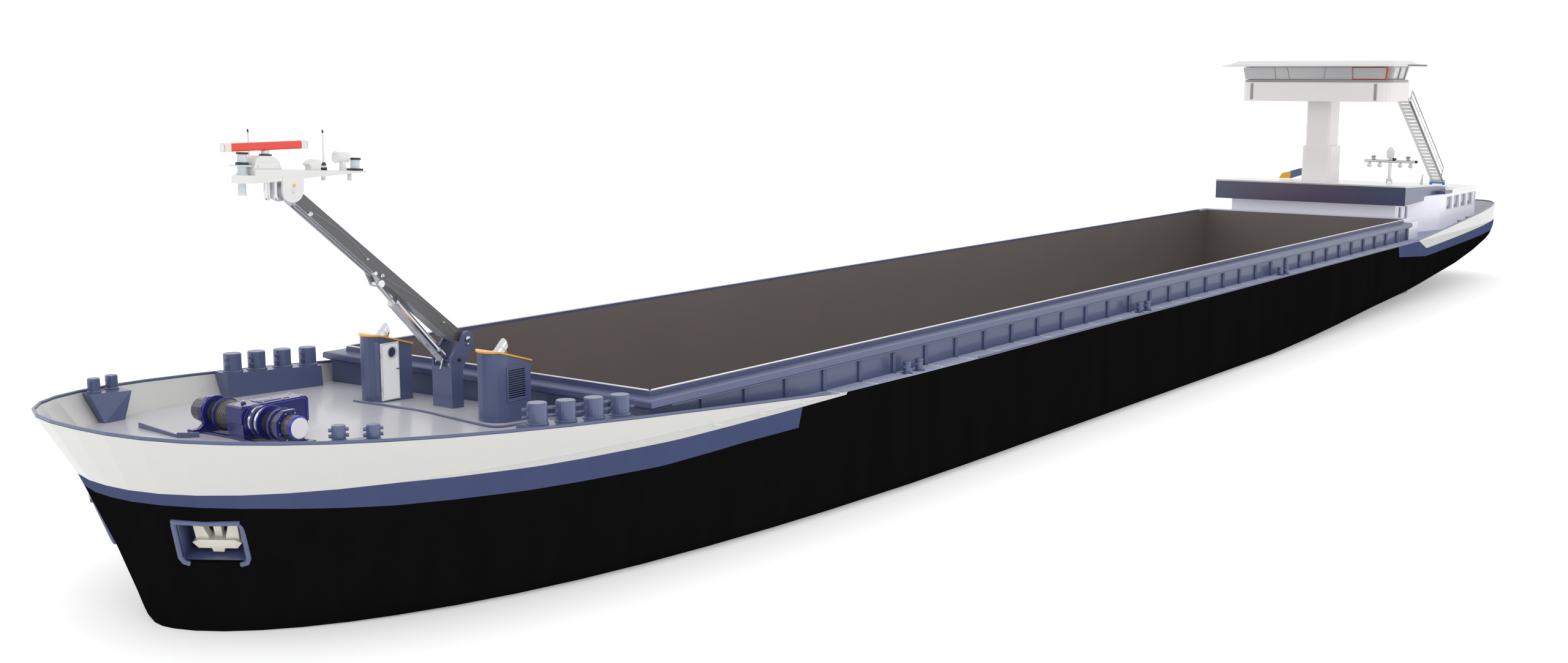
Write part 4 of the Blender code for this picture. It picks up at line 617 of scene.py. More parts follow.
gearSet = {
    "bearings": ((-1.095, -0.018), (1.385, 0.018)),
    "boltAngles": tuple(22.5 + 45 * k for k in range(8)),
    "boltCircle": 0.27, "boltRadius": 0.018,
    "boxBoltX": (5.30, 5.75, 6.2, 6.62), "boxBoltY": (-0.07, 0.30), "boxBoltZ": (3.954, 3.975),
    "boxBoltRadius": 0.022,
    "lid": ((5.55, -0.02, 3.952), (6.25, 0.25, 3.966)), "lidEdge": 0.006,
    "breather": (6.52, 0.12),
    "breatherParts": ((3.955, 4.0, 0.05, 16, 2), (4.0, 4.03, 0.03, 12, 1)),
    # Bright blue bars along the gearbox's arched edges: painted highlights
    "glintBarY": 0.366, "glintBarRadius": 0.012,
    "glintBars": (((5.24, 3.50), (5.24, 3.82), (5.27, 3.89), (5.34, 3.92), (6.10, 3.92)),
               ((6.2, 3.5), (6.2, 3.8), (6.26, 3.88), (6.36, 3.92), (6.68, 3.92))),
}


def makeWinchFrame():
    x, _, z = winchSet["centre"]
    shape = bmesh.new()
    for y, out in gearSet["bearings"]:
        for angle in gearSet["boltAngles"]:
            boltX = x + gearSet["boltCircle"] * cos(radians(angle))
            boltZ = z + gearSet["boltCircle"] * sin(radians(angle))
            addRod(shape, (boltX, y, boltZ), (boltX, y + out, boltZ), gearSet["boltRadius"], 6, 1,
                   edge=0.003)
    low, high = gearSet["boxBoltZ"]
    for boltX in gearSet["boxBoltX"]:
        for y in gearSet["boxBoltY"]:
            addRod(shape, (boltX, y, low), (boltX, y, high), gearSet["boxBoltRadius"], 6, 1,
                   edge=0.004)
    addBox(shape, *gearSet["lid"], gearSet["lidEdge"], 2)
    spot = gearSet["breather"]
    for low, high, radius, sides, slot in gearSet["breatherParts"]:
        addRod(shape, (*spot, low), (*spot, high), radius, sides, slot)
    for glintBar in gearSet["glintBars"]:
        addPath(shape, [(guardX, gearSet["glintBarY"], guardZ) for guardX, guardZ in glintBar],
                gearSet["glintBarRadius"])
    fitted("winchFittings", "barge", shape, ["edge", "chrome", "navy"])


# Starboard house door: porthole, seal, handle and hinges, as x, z places on the door's face

doorSet = {
    "face": -1.463,
    "porthole": (1.505, 4.143),
    "portRim": ((0.0, 0.108), (0.006, 0.143), (0.016, 0.146), (0.022, 0.140), (0.022, 0.118),
                (0.0, 0.108)),
    "portGlass": ((-0.010, 0.112), (-0.008, 0.0)),
    "seal": ((1.37, 3.095), (1.735, 3.095), (1.775, 3.11), (1.787, 3.15), (1.787, 4.29),
             (1.775, 4.33), (1.735, 4.347), (1.37, 4.347), (1.33, 4.33), (1.318, 4.29),
             (1.318, 3.15), (1.33, 3.11), (1.37, 3.095)),
    "sealRadius": 0.012,
    "spindle": (1.385, 3.765), "spindleOut": 0.05, "spindleRadius": 0.014,
    "handleZ": 3.765, "handle": ((1.39, 0.05), (1.35, 0.052), (1.30, 0.05)), "handleRadius": 0.012,
    "hingeX": 1.80, "hingeZ": (3.35, 4.1), "hingeIn": 0.005, "hingeHalf": 0.06,
    "hingeRadius": 0.016,
}


def makeDoor():
    shape = bmesh.new()
    face = doorSet["face"]
    x, z = doorSet["porthole"]
    addTurned(shape, doorSet["portRim"], (x, face, z), acrossY, 0, 36)
    addTurned(shape, doorSet["portGlass"], (x, face, z), acrossY, 1, 36)
    addPath(shape, [(x, face, z) for x, z in doorSet["seal"]], doorSet["sealRadius"])
    x, z = doorSet["spindle"]
    addRod(shape, (x, face, z), (x, face + doorSet["spindleOut"], z), doorSet["spindleRadius"],
           12, 2, edge=0.003)
    addPath(shape, [(x, face + out, doorSet["handleZ"]) for x, out in doorSet["handle"]],
            doorSet["handleRadius"], 10, 2)
    x, y, half = doorSet["hingeX"], face - doorSet["hingeIn"], doorSet["hingeHalf"]
    for z in doorSet["hingeZ"]:
        addRod(shape, (x, y, z - half), (x, y, z + half), doorSet["hingeRadius"], 12, edge=0.003)
    fitted("doorFittings", "house_door", shape, ["white", "inner", "blue"])


# Bow houses: rings on the leaning pipes, the grille's frame, and black strips as painted shade in
# the gaps behind its slats.
# Frame bars are x, x, z, z.

bowHouseSet = {
    "pipe": (1.464, 1.875, 4.43), "pipeLean": (-0.73, 0.0, 0.68),
    "pipeRings": ((0.10, ((0.0, 0.132), (0.015, 0.14), (0.03, 0.132))),
                  (-0.02, ((-0.03, 0.132), (-0.02, 0.15), (0.0, 0.15), (0.01, 0.132)))),
    "frameY": (2.244, 2.268), "frameEdge": 0.005,
    "frameBars": ((1.045, 1.59, 3.465, 3.488), (1.045, 1.59, 4.184, 4.208),
                  (1.03, 1.05, 3.465, 4.208), (1.585, 1.605, 3.465, 4.208)),
    "gaps": 13, "gapFrom": 3.53, "gapReach": 0.62, "gapZ": (0.002, 0.026),
    "gapX": (1.076, 1.559), "gapY": (2.222, 2.228), "gapEdge": 0.002,
}


def makeBowHouses():
    shape = bmesh.new()
    x, y, z = bowHouseSet["pipe"]
    lean = Vector(bowHouseSet["pipeLean"])
    for side in bothSides:
        for along, profile in bowHouseSet["pipeRings"]:
            addTurned(shape, profile, Vector((x, side * y, z)) + lean * along, lean, 0, 28)
    near, far = bowHouseSet["frameY"]
    for aft, fore, low, high in bowHouseSet["frameBars"]:
        addBox(shape, (aft, near, low), (fore, far, high), bowHouseSet["frameEdge"], 1)
    fitted("houseFittings", "barge", shape, ["chrome", "blue", "inner"])
    shape = bmesh.new()
    (aft, fore), (near, far), (low, high) = [bowHouseSet[key] for key in ("gapX", "gapY", "gapZ")]
    for k in range(bowHouseSet["gaps"]):
        z = bowHouseSet["gapFrom"] + bowHouseSet["gapReach"] * k / bowHouseSet["gaps"]
        addBox(shape, (aft, near, z + low), (fore, far, z + high), bowHouseSet["gapEdge"])
    fitted("grilleShadow", "barge", shape, ["black"])


# Mast boom: pins, cylinder hubs, two pipes under it and two cables along its port side. Pins and
# hubs are x, z and radius.

boomSet = {
    "foot": (0.895, 0, 4.536), "head": (5.237, 0, 8.022),
    "pins": ((4.81, 7.52, 0.05), (3.07, 6.12, 0.045), (3.44, 6.50, 0.03), (1.45, 4.95, 0.03)),
    "pinY": (0.168, 0.20, 0.235), "nutShare": 0.6,
    "hubs": ((3.07, 5.95, 0.085), (3.22, 6.18, 0.05)),
    "hubY": (0.13, 0.165, 0.172), "hubBore": 0.04, "hubBevel": 0.01,
    "pipeY": (0.06, -0.06), "pipeUp": -0.185, "pipeWave": 0.012, "pipeTurns": 9,
    "pipeShares": (0.50, 0.58, 0.66, 0.74, 0.82, 0.90, 0.94), "pipeRadius": 0.022,
    "cables": (((0.05, 0.0), (0.12, 0.045), (0.20, 0.06), (0.30, 0.02), (0.42, -0.09),
                (0.46, -0.12)),
               ((0.58, -0.05), (0.66, 0.02), (0.75, 0.03), (0.84, -0.03), (0.90, -0.10))),
    "cableY": 0.176, "cableRadius": 0.008,
}


def boomPoint(share, up, y):
    # Along the boom from its foot, and off its centre line
    start, end = Vector(boomSet["foot"]), Vector(boomSet["head"])
    along = end - start
    normal = Vector((-along.z, 0, along.x)).normalized()
    spot = start + along * share + normal * up
    return (spot.x, y, spot.z)


def makeBoom():
    shape = bmesh.new()
    inner, face, outer = boomSet["pinY"]
    for x, z, radius in boomSet["pins"]:
        addRod(shape, (x, inner, z), (x, face, z), radius)
        addRod(shape, (x, face, z), (x, outer, z), radius * boomSet["nutShare"], 6, edge=0.004)
    inner, face, outer = boomSet["hubY"]
    for x, z, radius in boomSet["hubs"]:
        profile = [(inner, boomSet["hubBore"]), (inner, radius), (face, radius),
                   (outer, radius - boomSet["hubBevel"]), (outer, 0.0)]
        addTurned(shape, profile, (x, 0, z), acrossY)
    for y in boomSet["pipeY"]:
        line = [boomPoint(share, boomSet["pipeUp"]
                          + boomSet["pipeWave"] * sin(share * boomSet["pipeTurns"]), y)
                for share in boomSet["pipeShares"]]
        addPath(shape, line, boomSet["pipeRadius"], 10)
    for cable in boomSet["cables"]:
        line = [boomPoint(share, up, boomSet["cableY"]) for share, up in cable]
        addPath(shape, line, boomSet["cableRadius"], 8, 1)
    fitted("boomFittings", "mast", shape, ["chrome", "grey"])


# Mast cylinder: two rings, each given as its place, its radius and its lug's outer y

cylinderSet = {
    "start": (1.30, 0, 4.09), "end": (3.07, 0, 5.95),
    "rings": ((0.35, 0.125, 0.165), (1.94, 0.137, 0.138)),
    "ringFoot": 0.12, "ringHalf": (0.03, 0.02),
    "lugY": 0.11, "lugRadius": 0.03,
}


def makeCylinder():
    shape = bmesh.new()
    start, end = Vector(cylinderSet["start"]), Vector(cylinderSet["end"])
    axis = (end - start).normalized()
    foot, (wide, slim) = cylinderSet["ringFoot"], cylinderSet["ringHalf"]
    for along, radius, lug in cylinderSet["rings"]:
        profile = [(along - wide, foot), (along - slim, radius), (along + slim, radius),
                   (along + wide, foot)]
        addTurned(shape, profile, start, axis, 0, 32)
        spot = start + axis * along
        addRod(shape, spot + Vector((0, cylinderSet["lugY"], 0)), spot + Vector((0, lug, 0)),
               cylinderSet["lugRadius"], 12)
    fitted("cylinderRings", "mast_barrel", shape, ["chrome"])


# Mast head: pins, pipes, lamp and lantern caps, whips and the horn's mouth. It is drawn level and
# then tilted about the boom's end. Pins are x, z and slot; caps have a profile of heights, x, slot
# and steps; boxes have two corners, edge and slot.

headSet = {
    "tilt": -3.2,
    "pins": ((5.222, 8.108, 2), (5.222, 7.99, 0)), "pinY": (0.245, 0.272), "pinRadius": 0.027,
    "pipes": ((5.56, 0.12), (5.68, 0.05), (5.79, 0.13)), "pipeRadius": 0.045,
    "pipeBend": ((0.0, 0.0, 8.19), (0.0, 0.0, 8.04), (-0.01, -0.01, 7.90), (-0.05, -0.02, 7.84)),
    "caps": (
        (((8.672, 0.06), (8.672, 0.125), (8.69, 0.13), (8.70, 0.12), (8.70, 0.0)), 5.702, 1, 24),
        (((8.478, 0.0), (8.478, 0.123), (8.485, 0.128), (8.53, 0.128), (8.536, 0.123),
          (8.536, 0.0)), 6.23, 1, 28),
        (((8.688, 0.0), (8.688, 0.118), (8.72, 0.12), (8.728, 0.10), (8.728, 0.0)), 6.23, 1, 28),
        (((8.622, 0.0), (8.622, 0.118), (8.66, 0.12), (8.668, 0.10), (8.668, 0.0)), 3.54, 1, 28),
        (((8.13, 0.0), (8.13, 0.092), (8.16, 0.095), (8.17, 0.085)), 6.23, 3, 24),
        (((7.90, 0.0), (7.895, 0.082), (7.915, 0.084), (7.93, 0.072)), 6.23, 3, 24),
        (((7.935, 0.0825), (8.08, 0.0825)), 6.23, 4, 24),
    ),
    "boxes": (((3.424, -0.126, 8.406), (3.656, 0.126, 8.45), 0.006, 1),
              ((5.47, -0.185, 8.425), (6.085, 0.185, 8.44), 0.005, 3),
              ((5.49, -0.186, 8.545), (6.05, 0.186, 8.558), 0.005, 3)),
    "whips": ((4.31, 0.0, 8.404), (5.21, -1.18, 8.37)), "whipAxis": (0.056, 0, 1),
    "whipFoot": ((0.0, 0.064), (0.03, 0.064), (0.113, 0.05), (0.16, 0.026)),
    "whipTip": ((0.74, 0.021), (0.80, 0.016), (0.805, 0.0)),
    "horn": (4.005, 0, 8.67),
    "hornMouth": ((0.0, 0.107), (0.01, 0.12), (0.03, 0.125), (0.035, 0.09), (0.012, 0.06),
                  (0.005, 0.0)),
    "legX": (3.70, 4.35), "legY": 0.03, "legZ": (8.20, 8.36), "legRadius": 0.045,
    "screwX": (6.00, 5.52), "screwY": (0.172, 0.194), "screwZ": 8.47, "screwRadius": 0.016,
}


def headTurn():
    hinge = Matrix.Translation(boomSet["head"])
    return hinge @ Matrix.Rotation(radians(headSet["tilt"]), 4, "Y") @ hinge.inverted()


def makeHead():
    shape = bmesh.new()
    inner, outer = headSet["pinY"]
    for x, z, slot in headSet["pins"]:
        addRod(shape, (x, inner, z), (x, outer, z), headSet["pinRadius"], 20, slot, edge=0.004)
    for x, y in headSet["pipes"]:
        line = [(x + forward, y + across, z) for forward, across, z in headSet["pipeBend"]]
        addPath(shape, line, headSet["pipeRadius"], 14)
    for profile, x, slot, steps in headSet["caps"]:
        addTurned(shape, profile, (x, 0, 0), upZ, slot, steps)
    for low, high, edge, slot in headSet["boxes"]:
        addBox(shape, low, high, edge, slot)
    for spot in headSet["whips"]:
        addTurned(shape, headSet["whipFoot"], spot, headSet["whipAxis"], 1, 16)
        addTurned(shape, headSet["whipTip"], spot, headSet["whipAxis"], 1, 12)
    addTurned(shape, headSet["hornMouth"], headSet["horn"], alongX, 3, 28)
    y, (low, high) = headSet["legY"], headSet["legZ"]
    for x in headSet["legX"]:
        addRod(shape, (x, y, low), (x, y, high), headSet["legRadius"], 16, 3)
    z, (inner, outer) = headSet["screwZ"], headSet["screwY"]
    for x in headSet["screwX"]:
        addRod(shape, (x, inner, z), (x, outer, z), headSet["screwRadius"], 8, edge=0.003)
    finish = ["chrome", "black", "yellow", "white", "lantern"]
    fitted("headFittings", "mast_head", shape, finish, headTurn())


# Radar scanner: the white ends of its bar, and the collar under it

scannerSet = {
    "centre": (5.666, 0, 8.88), "turn": 1,
    "ends": ((0.80, -0.079, -0.084), (0.978, 0.079, 0.084)), "endEdge": 0.028,
    "collar": ((-0.155, 0.075), (-0.15, 0.085), (-0.10, 0.085), (-0.085, 0.075)),
}


def makeScanner():
    shape = bmesh.new()
    turned = (Matrix.Translation(scannerSet["centre"])
              @ Matrix.Rotation(radians(scannerSet["turn"]), 4, "Z"))
    (near, left, bottom), (far, right, top) = scannerSet["ends"]
    for hand in (-1, 1):
        low, high = span(hand, near, far)
        addBox(shape, (low, left, bottom), (high, right, top), scannerSet["endEdge"], 0, turned)
    addTurned(shape, scannerSet["collar"], scannerSet["centre"], upZ, 0, 28)
    fitted("scannerEnds", "radar", shape, ["white"])


# Mast pedestal: the pins' ends as x, z, radius and slot, and two hose ends by the cylinder's foot

pedestalSet = {
    "pinY": (0.326, 0.35),
    "pins": ((0.895, 4.536, 0.062, 0), (0.90, 4.42, 0.03, 0), (1.148, 4.11, 0.042, 1)),
    "hoses": (((1.375, 0.09, 4.16), (1.43, 0.085, 4.10), (1.45, 0.08, 4.0), (1.49, 0.08, 3.93)),
              ((1.375, -0.07, 4.18), (1.44, -0.07, 4.14), (1.47, -0.07, 4.07))),
    "hoseRadius": 0.016,
}


def makePedestal():
    shape = bmesh.new()
    inner, outer = pedestalSet["pinY"]
    for hand in bothSides:
        for x, z, radius, slot in pedestalSet["pins"]:
            addRod(shape, (x, hand * inner, z), (x, hand * outer, z), radius, 24, slot, edge=0.004)
    for hose in pedestalSet["hoses"]:
        addPath(shape, hose, pedestalSet["hoseRadius"], 10)
    fitted("pedestalFittings", "barge", shape, ["chrome", "black"])


# Side decks: edge rails, white ticks at the coaming stays' feet as painted highlights, and low
# bollards with their pins

deckSet = {
    "railX": (-12.0, -20.0, -30.0, -40.0, -50.2), "railY": 5.68, "railZ": 2.915,
    "railRadius": 0.026,
    "glints": 33, "glintPitch": 1.492, "glintOffset": 0.90, "glintHalf": 0.02,
    "glintY": (5.20, 5.62), "glintZ": (2.9, 2.912), "glintEdge": 0.004,
    "bollards": (-9.2, -22.6, -34.6), "bollardStep": 0.28, "bollardY": 5.42,
    "bollard": ((2.90, 0.15), (2.92, 0.15), (2.93, 0.09), (3.16, 0.09), (3.17, 0.11),
                (3.20, 0.11), (3.21, 0.09), (3.21, 0.0)),
    "pinHalf": 0.17, "pinZ": 3.08, "pinRadius": 0.024,
}


def makeSideDecks():
    shape = bmesh.new()
    low, high = deckSet["glintZ"]
    for side in bothSides:
        addPath(shape, [(x, side * deckSet["railY"], deckSet["railZ"]) for x in deckSet["railX"]],
                deckSet["railRadius"])
        near, far = span(side, *deckSet["glintY"])
        half = deckSet["glintHalf"]
        for k in range(deckSet["glints"]):
            x = -deckSet["glintPitch"] * (k + deckSet["glintOffset"])
            addBox(shape, (x - half, near, low), (x + half, far, high), deckSet["glintEdge"], 1)
        y, z, half = side * deckSet["bollardY"], deckSet["pinZ"], deckSet["pinHalf"]
        for middle in deckSet["bollards"]:
            for x in (middle - deckSet["bollardStep"], middle + deckSet["bollardStep"]):
                addTurned(shape, deckSet["bollard"], (x, y, 0), upZ, 0, 20)
                addRod(shape, (x - half, y, z), (x + half, y, z), deckSet["pinRadius"], 10)
    fitted("sideDeckFittings", "barge", shape, ["blue", "tick"])


# Coaming: a white bead along its top as a painted highlight, and a blue one under its lip

beadSet = {
    "topX": (0.0, -12.0, -24.0, -36.0, -51.9), "topY": 4.84, "topZ": 3.775, "topRadius": 0.018,
    "lipX": (-0.2, -12.0, -24.0, -36.0, -50.85), "lipY": 5.22, "lipZ": 3.47, "lipRadius": 0.02,
    "foreX": 0.05, "foreY": (-4.8, 0.0, 4.8),
}


def makeCoamingBeads():
    shape = bmesh.new()
    for side in bothSides:
        addPath(shape, [(x, side * beadSet["topY"], beadSet["topZ"]) for x in beadSet["topX"]],
                beadSet["topRadius"])
        addPath(shape, [(x, side * beadSet["lipY"], beadSet["lipZ"]) for x in beadSet["lipX"]],
                beadSet["lipRadius"], 8, 1)
    addPath(shape, [(beadSet["foreX"], y, beadSet["topZ"]) for y in beadSet["foreY"]],
            beadSet["topRadius"])
    fitted("coamingBeads", "barge", shape, ["tick", "blue"])


# Deckhouse: framed side windows, two small ones in each slanted wall, beads on the roof's edge
# and the stay aft on the roof

houseSet = {
    "wall": 4.79, "height": (3.79, 4.38),
    "windows": ((-58.53, -57.70), (-59.76, -58.93), (-60.97, -60.14), (-62.14, -61.31),
                (-62.66, -62.44)),
    "glassIn": (0.07, 0.055), "glassPlay": 0.002, "glassEdge": 0.004,
    "frameWidth": 0.035, "frameOut": 0.018, "frameEdge": 0.006,
    "small": (-53.2, -53.85), "smallHalf": 0.148, "smallHeight": (3.602, 4.148),
    "slantFrom": (-52.7, 3.9), "slant": (1.5, 0.2),
    "beadX": -52.08, "beadY": (-4.5, 0.0, 4.5), "beadZ": 5.165, "beadRadius": 0.025,
    "sideBead": ((-52.1, 4.5, 5.165), (-57.0, 4.5, 4.965), (-58.6, 4.52, 4.82)),
    "post": ((-60.88, 2.67, 4.70), (-60.78, 2.73, 5.25)), "postEdge": 0.01,
    "brace": ((-60.38, 2.69, 4.72), (-60.84, 2.69, 4.72), (-60.84, 2.69, 5.24)),
    "braceDepth": (0, 0.02, 0),
}


def addWindowFrame(shape, aft, fore, side):
    # Four bevelled bars round a window
    bottom, top = houseSet["height"]
    width, edge = houseSet["frameWidth"], houseSet["frameEdge"]
    near, far = span(side, houseSet["wall"], houseSet["wall"] + houseSet["frameOut"])
    for low, high in (((aft - width, near, bottom - width), (fore + width, far, bottom)),
                      ((aft - width, near, top), (fore + width, far, top + width)),
                      ((aft - width, near, bottom), (aft, far, top)),
                      ((fore, near, bottom), (fore + width, far, top))):
        addBox(shape, low, high, edge)


def makeDeckhouse():
    shape = bmesh.new()
    play, edge = houseSet["glassPlay"], houseSet["glassEdge"]
    deep, shallow = houseSet["glassIn"]
    for side in bothSides:
        near, far = span(side, houseSet["wall"] - deep, houseSet["wall"] - shallow)
        bottom, top = houseSet["height"]
        for aft, fore in houseSet["windows"]:
            addBox(shape, (aft + play, near, bottom + play), (fore - play, far, top - play),
                   edge, 1)
            addWindowFrame(shape, aft, fore, side)
        near, far = span(-side, deep, shallow)
        bottom, top = houseSet["smallHeight"]
        (startX, startY), (run, spread) = houseSet["slantFrom"], houseSet["slant"]
        half = houseSet["smallHalf"]
        for x in houseSet["small"]:
            wall = Matrix.Translation((x, side * (startY + (startX - x) / run * spread), 0))
            slanted = wall @ Matrix.Rotation(-side * atan2(spread, run), 4, "Z")
            addBox(shape, (-half, near, bottom), (half, far, top), edge, 1, slanted)
    addPath(shape, [(houseSet["beadX"], y, houseSet["beadZ"]) for y in houseSet["beadY"]],
            houseSet["beadRadius"], 10)
    for side in bothSides:
        addPath(shape, [(x, side * y, z) for x, y, z in houseSet["sideBead"]],
                houseSet["beadRadius"], 10)
    addBox(shape, *houseSet["post"], houseSet["postEdge"])
    addPlate(shape, houseSet["brace"], houseSet["braceDepth"])
    fitted("deckhouseWindows", "barge", shape, ["white", "darkGlass"])


# Wheelhouse: panes leaning out, the red frame, console screens, seat and the roof's dark corner.
# A pair of x or y values belongs to the panes' lower and upper edge.

cabinSet = {
    "height": (9.965, 10.505), "paneGap": 0.003, "paneDepth": 0.012, "paneLift": 0.002,
    "front": ((-2.72, -1.42), (-1.34, -0.04), (0.04, 1.34), (1.42, 2.72)),
    "frontX": (-52.29, -52.17),
    "sides": ((-54.85, -54.0), (-53.9, -53.05)), "sideY": (3.31, 3.43),
    "back": ((-3.0, -1.6), (-1.5, -0.05), (0.05, 1.5), (1.6, 3.0)), "backX": (-54.92, -55.04),
    "overlay": ((-3.29, -1.83), (-1.77, 1.77), (1.83, 3.29)), "overlayX": (-52.244, -52.124),
    "overlayFlare": 1.02, "overlayDepth": 0.010,
    "bars": ((0.47, 0.10), (-1.15, -0.08)), "barX": (-52.234, -52.114), "barEnd": 0.01,
    "barRadius": 0.018,
    "redFrame": ((-52.236, 1.80, 9.977), (-52.236, 3.32, 9.977), (-52.116, 3.40, 10.493),
                 (-52.116, 1.80, 10.493)),
    "redRadii": (0.022, 0.045, 0.016, 0.014),
    "screens": (-0.8, -0.27, 0.27, 0.8), "screenX": (-52.98, -52.93), "screenHalf": 0.2,
    "screenZ": (9.82, 10.12), "screenEdge": 0.012,
    "stalk": ((-52.9, 9.78), (-52.95, 9.9)), "stalkRadius": 0.02,
    "seat": ((-54.42, -0.25, 9.63), (-54.32, 0.25, 10.25)), "seatEdge": 0.03,
    "arms": (-0.29, 0.29), "armX": (-54.3, -53.95), "armHalf": 0.03, "armZ": (9.78, 9.83),
    "armEdge": 0.012,
    "lampX": -53.2, "lampY": (-2.2, 2.2),
    "lamp": ((10.545, 0.0), (10.545, 0.10), (10.50, 0.11), (10.46, 0.10), (10.45, 0.0)),
    "roofEdge": ((-56.0, 4.004, 10.552), (-52.1, 4.292, 10.552), (-52.1, 4.296, 10.628),
                 (-56.0, 4.008, 10.628)),
    "roofEdgeDepth": (0, 0.006, 0),
    "corner": ((-55.9, 3.2, 10.632), (-55.9, 3.98, 10.632), (-52.6, 4.22, 10.632),
               (-53.4, 4.0, 10.632)),
    "cornerDepth": (0, 0, 0.006),
    "padX": (-52.10, -52.085), "pads": (-2.9, 2.9), "padHalf": 0.06, "padZ": (9.02, 9.76),
    "padEdge": 0.004,
}


def addPane(shape, lower, upper, depth):
    # From the two ends of the lower and of the upper edge, in plan
    low, high = cabinSet["height"]
    outline = [(*spot, low) for spot in lower] + [(*spot, high) for spot in reversed(upper)]
    addPlate(shape, outline, (*depth, cabinSet["paneLift"]))


def addCrossPanes(shape, kind, gap, flare, depth):
    # Panes that stand across the ship, each between a left and a right y
    low, high = cabinSet[kind + "X"]
    for left, right in cabinSet[kind]:
        ends = (left + gap, right - gap)
        addPane(shape, [(low, y) for y in ends], [(high, y * flare) for y in ends], (depth, 0))


def addRow(shape, places, kind, slot):
    # Equal boxes side by side across the ship
    (aft, fore), half, (low, high) = [cabinSet[kind + key] for key in ("X", "Half", "Z")]
    for y in places:
        addBox(shape, (aft, y - half, low), (fore, y + half, high), cabinSet[kind + "Edge"], slot)


def makeWheelhouse():
    shape = bmesh.new()
    gap, depth = cabinSet["paneGap"], cabinSet["paneDepth"]
    addCrossPanes(shape, "front", gap, 1, -depth)
    lower, upper = cabinSet["sideY"]
    for aft, fore in cabinSet["sides"]:
        ends = (aft + gap, fore - gap)
        for side in bothSides:
            addPane(shape, [(x, side * lower) for x in ends], [(x, side * upper) for x in ends],
                    (0, -side * depth))
    addCrossPanes(shape, "back", gap, 1, depth)
    addCrossPanes(shape, "overlay", 0, cabinSet["overlayFlare"], cabinSet["overlayDepth"])
    (low, high), (lowX, highX), end = [cabinSet[key] for key in ("height", "barX", "barEnd")]
    for y, lean in cabinSet["bars"]:
        addPath(shape, [(lowX, y, low + end), (highX, y + lean, high - end)],
                cabinSet["barRadius"], 8, 4)
    corners = cabinSet["redFrame"]
    for first, second, radius in zip(corners, corners[1:] + corners[:1], cabinSet["redRadii"]):
        addPath(shape, (first, second), radius, 8, 1)
    addRow(shape, cabinSet["screens"], "screen", 2)
    (footX, footZ), (headX, headZ) = cabinSet["stalk"]
    for y in cabinSet["screens"]:
        addRod(shape, (footX, y, footZ), (headX, y, headZ), cabinSet["stalkRadius"], 10, 2)
    addBox(shape, *cabinSet["seat"], cabinSet["seatEdge"], 2)
    addRow(shape, cabinSet["arms"], "arm", 2)
    for y in cabinSet["lampY"]:
        addTurned(shape, cabinSet["lamp"], (cabinSet["lampX"], y, 0), upZ, 3, 20)
    addPlate(shape, cabinSet["roofEdge"], cabinSet["roofEdgeDepth"], 2)
    addPlate(shape, cabinSet["corner"], cabinSet["cornerDepth"], 2)
    finish = ["glass", "signal", "black", "white", "grey"]
    fitted("wheelhouseFittings", "wheelhouse", shape, finish)
    shape = bmesh.new()
    addRow(shape, cabinSet["pads"], "pad", 0)
    fitted("trayPads", "wheelhouse", shape, ["grey"])


# Stairs: rollers at the foot, then the port stringer, rail and tread lines along the slope

stairSet = {
    "foot": (-61.5, 0.0, 4.90), "top": (-55.25, 0.0, 9.0),
    "rollerX": -61.5, "rollerY": (2.93, 3.55), "rollerZ": 4.795, "rollerHalf": 0.06,
    "rollerRadius": 0.085, "axleZ": 4.80, "axleRadius": 0.035,
    "stringerY": (3.502, 3.512), "stringerHalf": 0.088, "stringerEdge": 0.003,
    "railY": 3.475, "railEnds": (0.301, 0.2), "railUp": (0.09, 0.63, 0.36),
    "railRadii": (0.026, 0.014),
    "treads": 24, "treadEnd": 0.14, "treadX": (-0.034, -0.030), "treadY": (3.02, 3.45),
    "treadHalf": 0.054, "treadEdge": 0.001,
}


def makeStairs():
    shape = bmesh.new()
    x, z, half = stairSet["rollerX"], stairSet["rollerZ"], stairSet["rollerHalf"]
    for y in stairSet["rollerY"]:
        addRod(shape, (x, y - half, z), (x, y + half, z), stairSet["rollerRadius"], edge=0.01)
    axle = [(x, y, stairSet["axleZ"]) for y in stairSet["rollerY"]]
    addRod(shape, *axle, stairSet["axleRadius"], 14)
    foot = Vector(stairSet["foot"])
    rise = Vector(stairSet["top"]) - foot
    slope = Matrix.Translation(foot) @ Matrix.Rotation(-atan2(rise.z, rise.x), 4, "Y")
    (near, far), half = stairSet["stringerY"], stairSet["stringerHalf"]
    addBox(shape, (0.0, near, -half), (rise.length, far, half), stairSet["stringerEdge"], 1, slope)
    y, (low, high, middle) = stairSet["railY"], stairSet["railUp"]
    start, end = stairSet["railEnds"][0], rise.length - stairSet["railEnds"][1]
    thick, thin = stairSet["railRadii"]
    rail = [(start, y, low), (start, y, high), (end, y, high), (end, y, low)]
    addPath(shape, [slope @ Vector(spot) for spot in rail], thick, 8, 2)
    addPath(shape, [slope @ Vector((along, y, middle)) for along in (start, end)], thin, 8, 2)
    (aft, fore), (near, far), half = [stairSet[key] for key in ("treadX", "treadY", "treadHalf")]
    reach = rise.length - 2 * stairSet["treadEnd"]
    for k in range(stairSet["treads"]):
        along = stairSet["treadEnd"] + reach * k / (stairSet["treads"] - 1)
        addBox(shape, (along + aft, near, -half), (along + fore, far, half),
               stairSet["treadEdge"], 2, slope)
    fitted("stairRollers", "stairs", shape, ["roller", "black", "grey"])


# Aft mast: lamps, dome ring, chrome tubes and four spotlights on the yard. Heights are from the
# mast's foot.

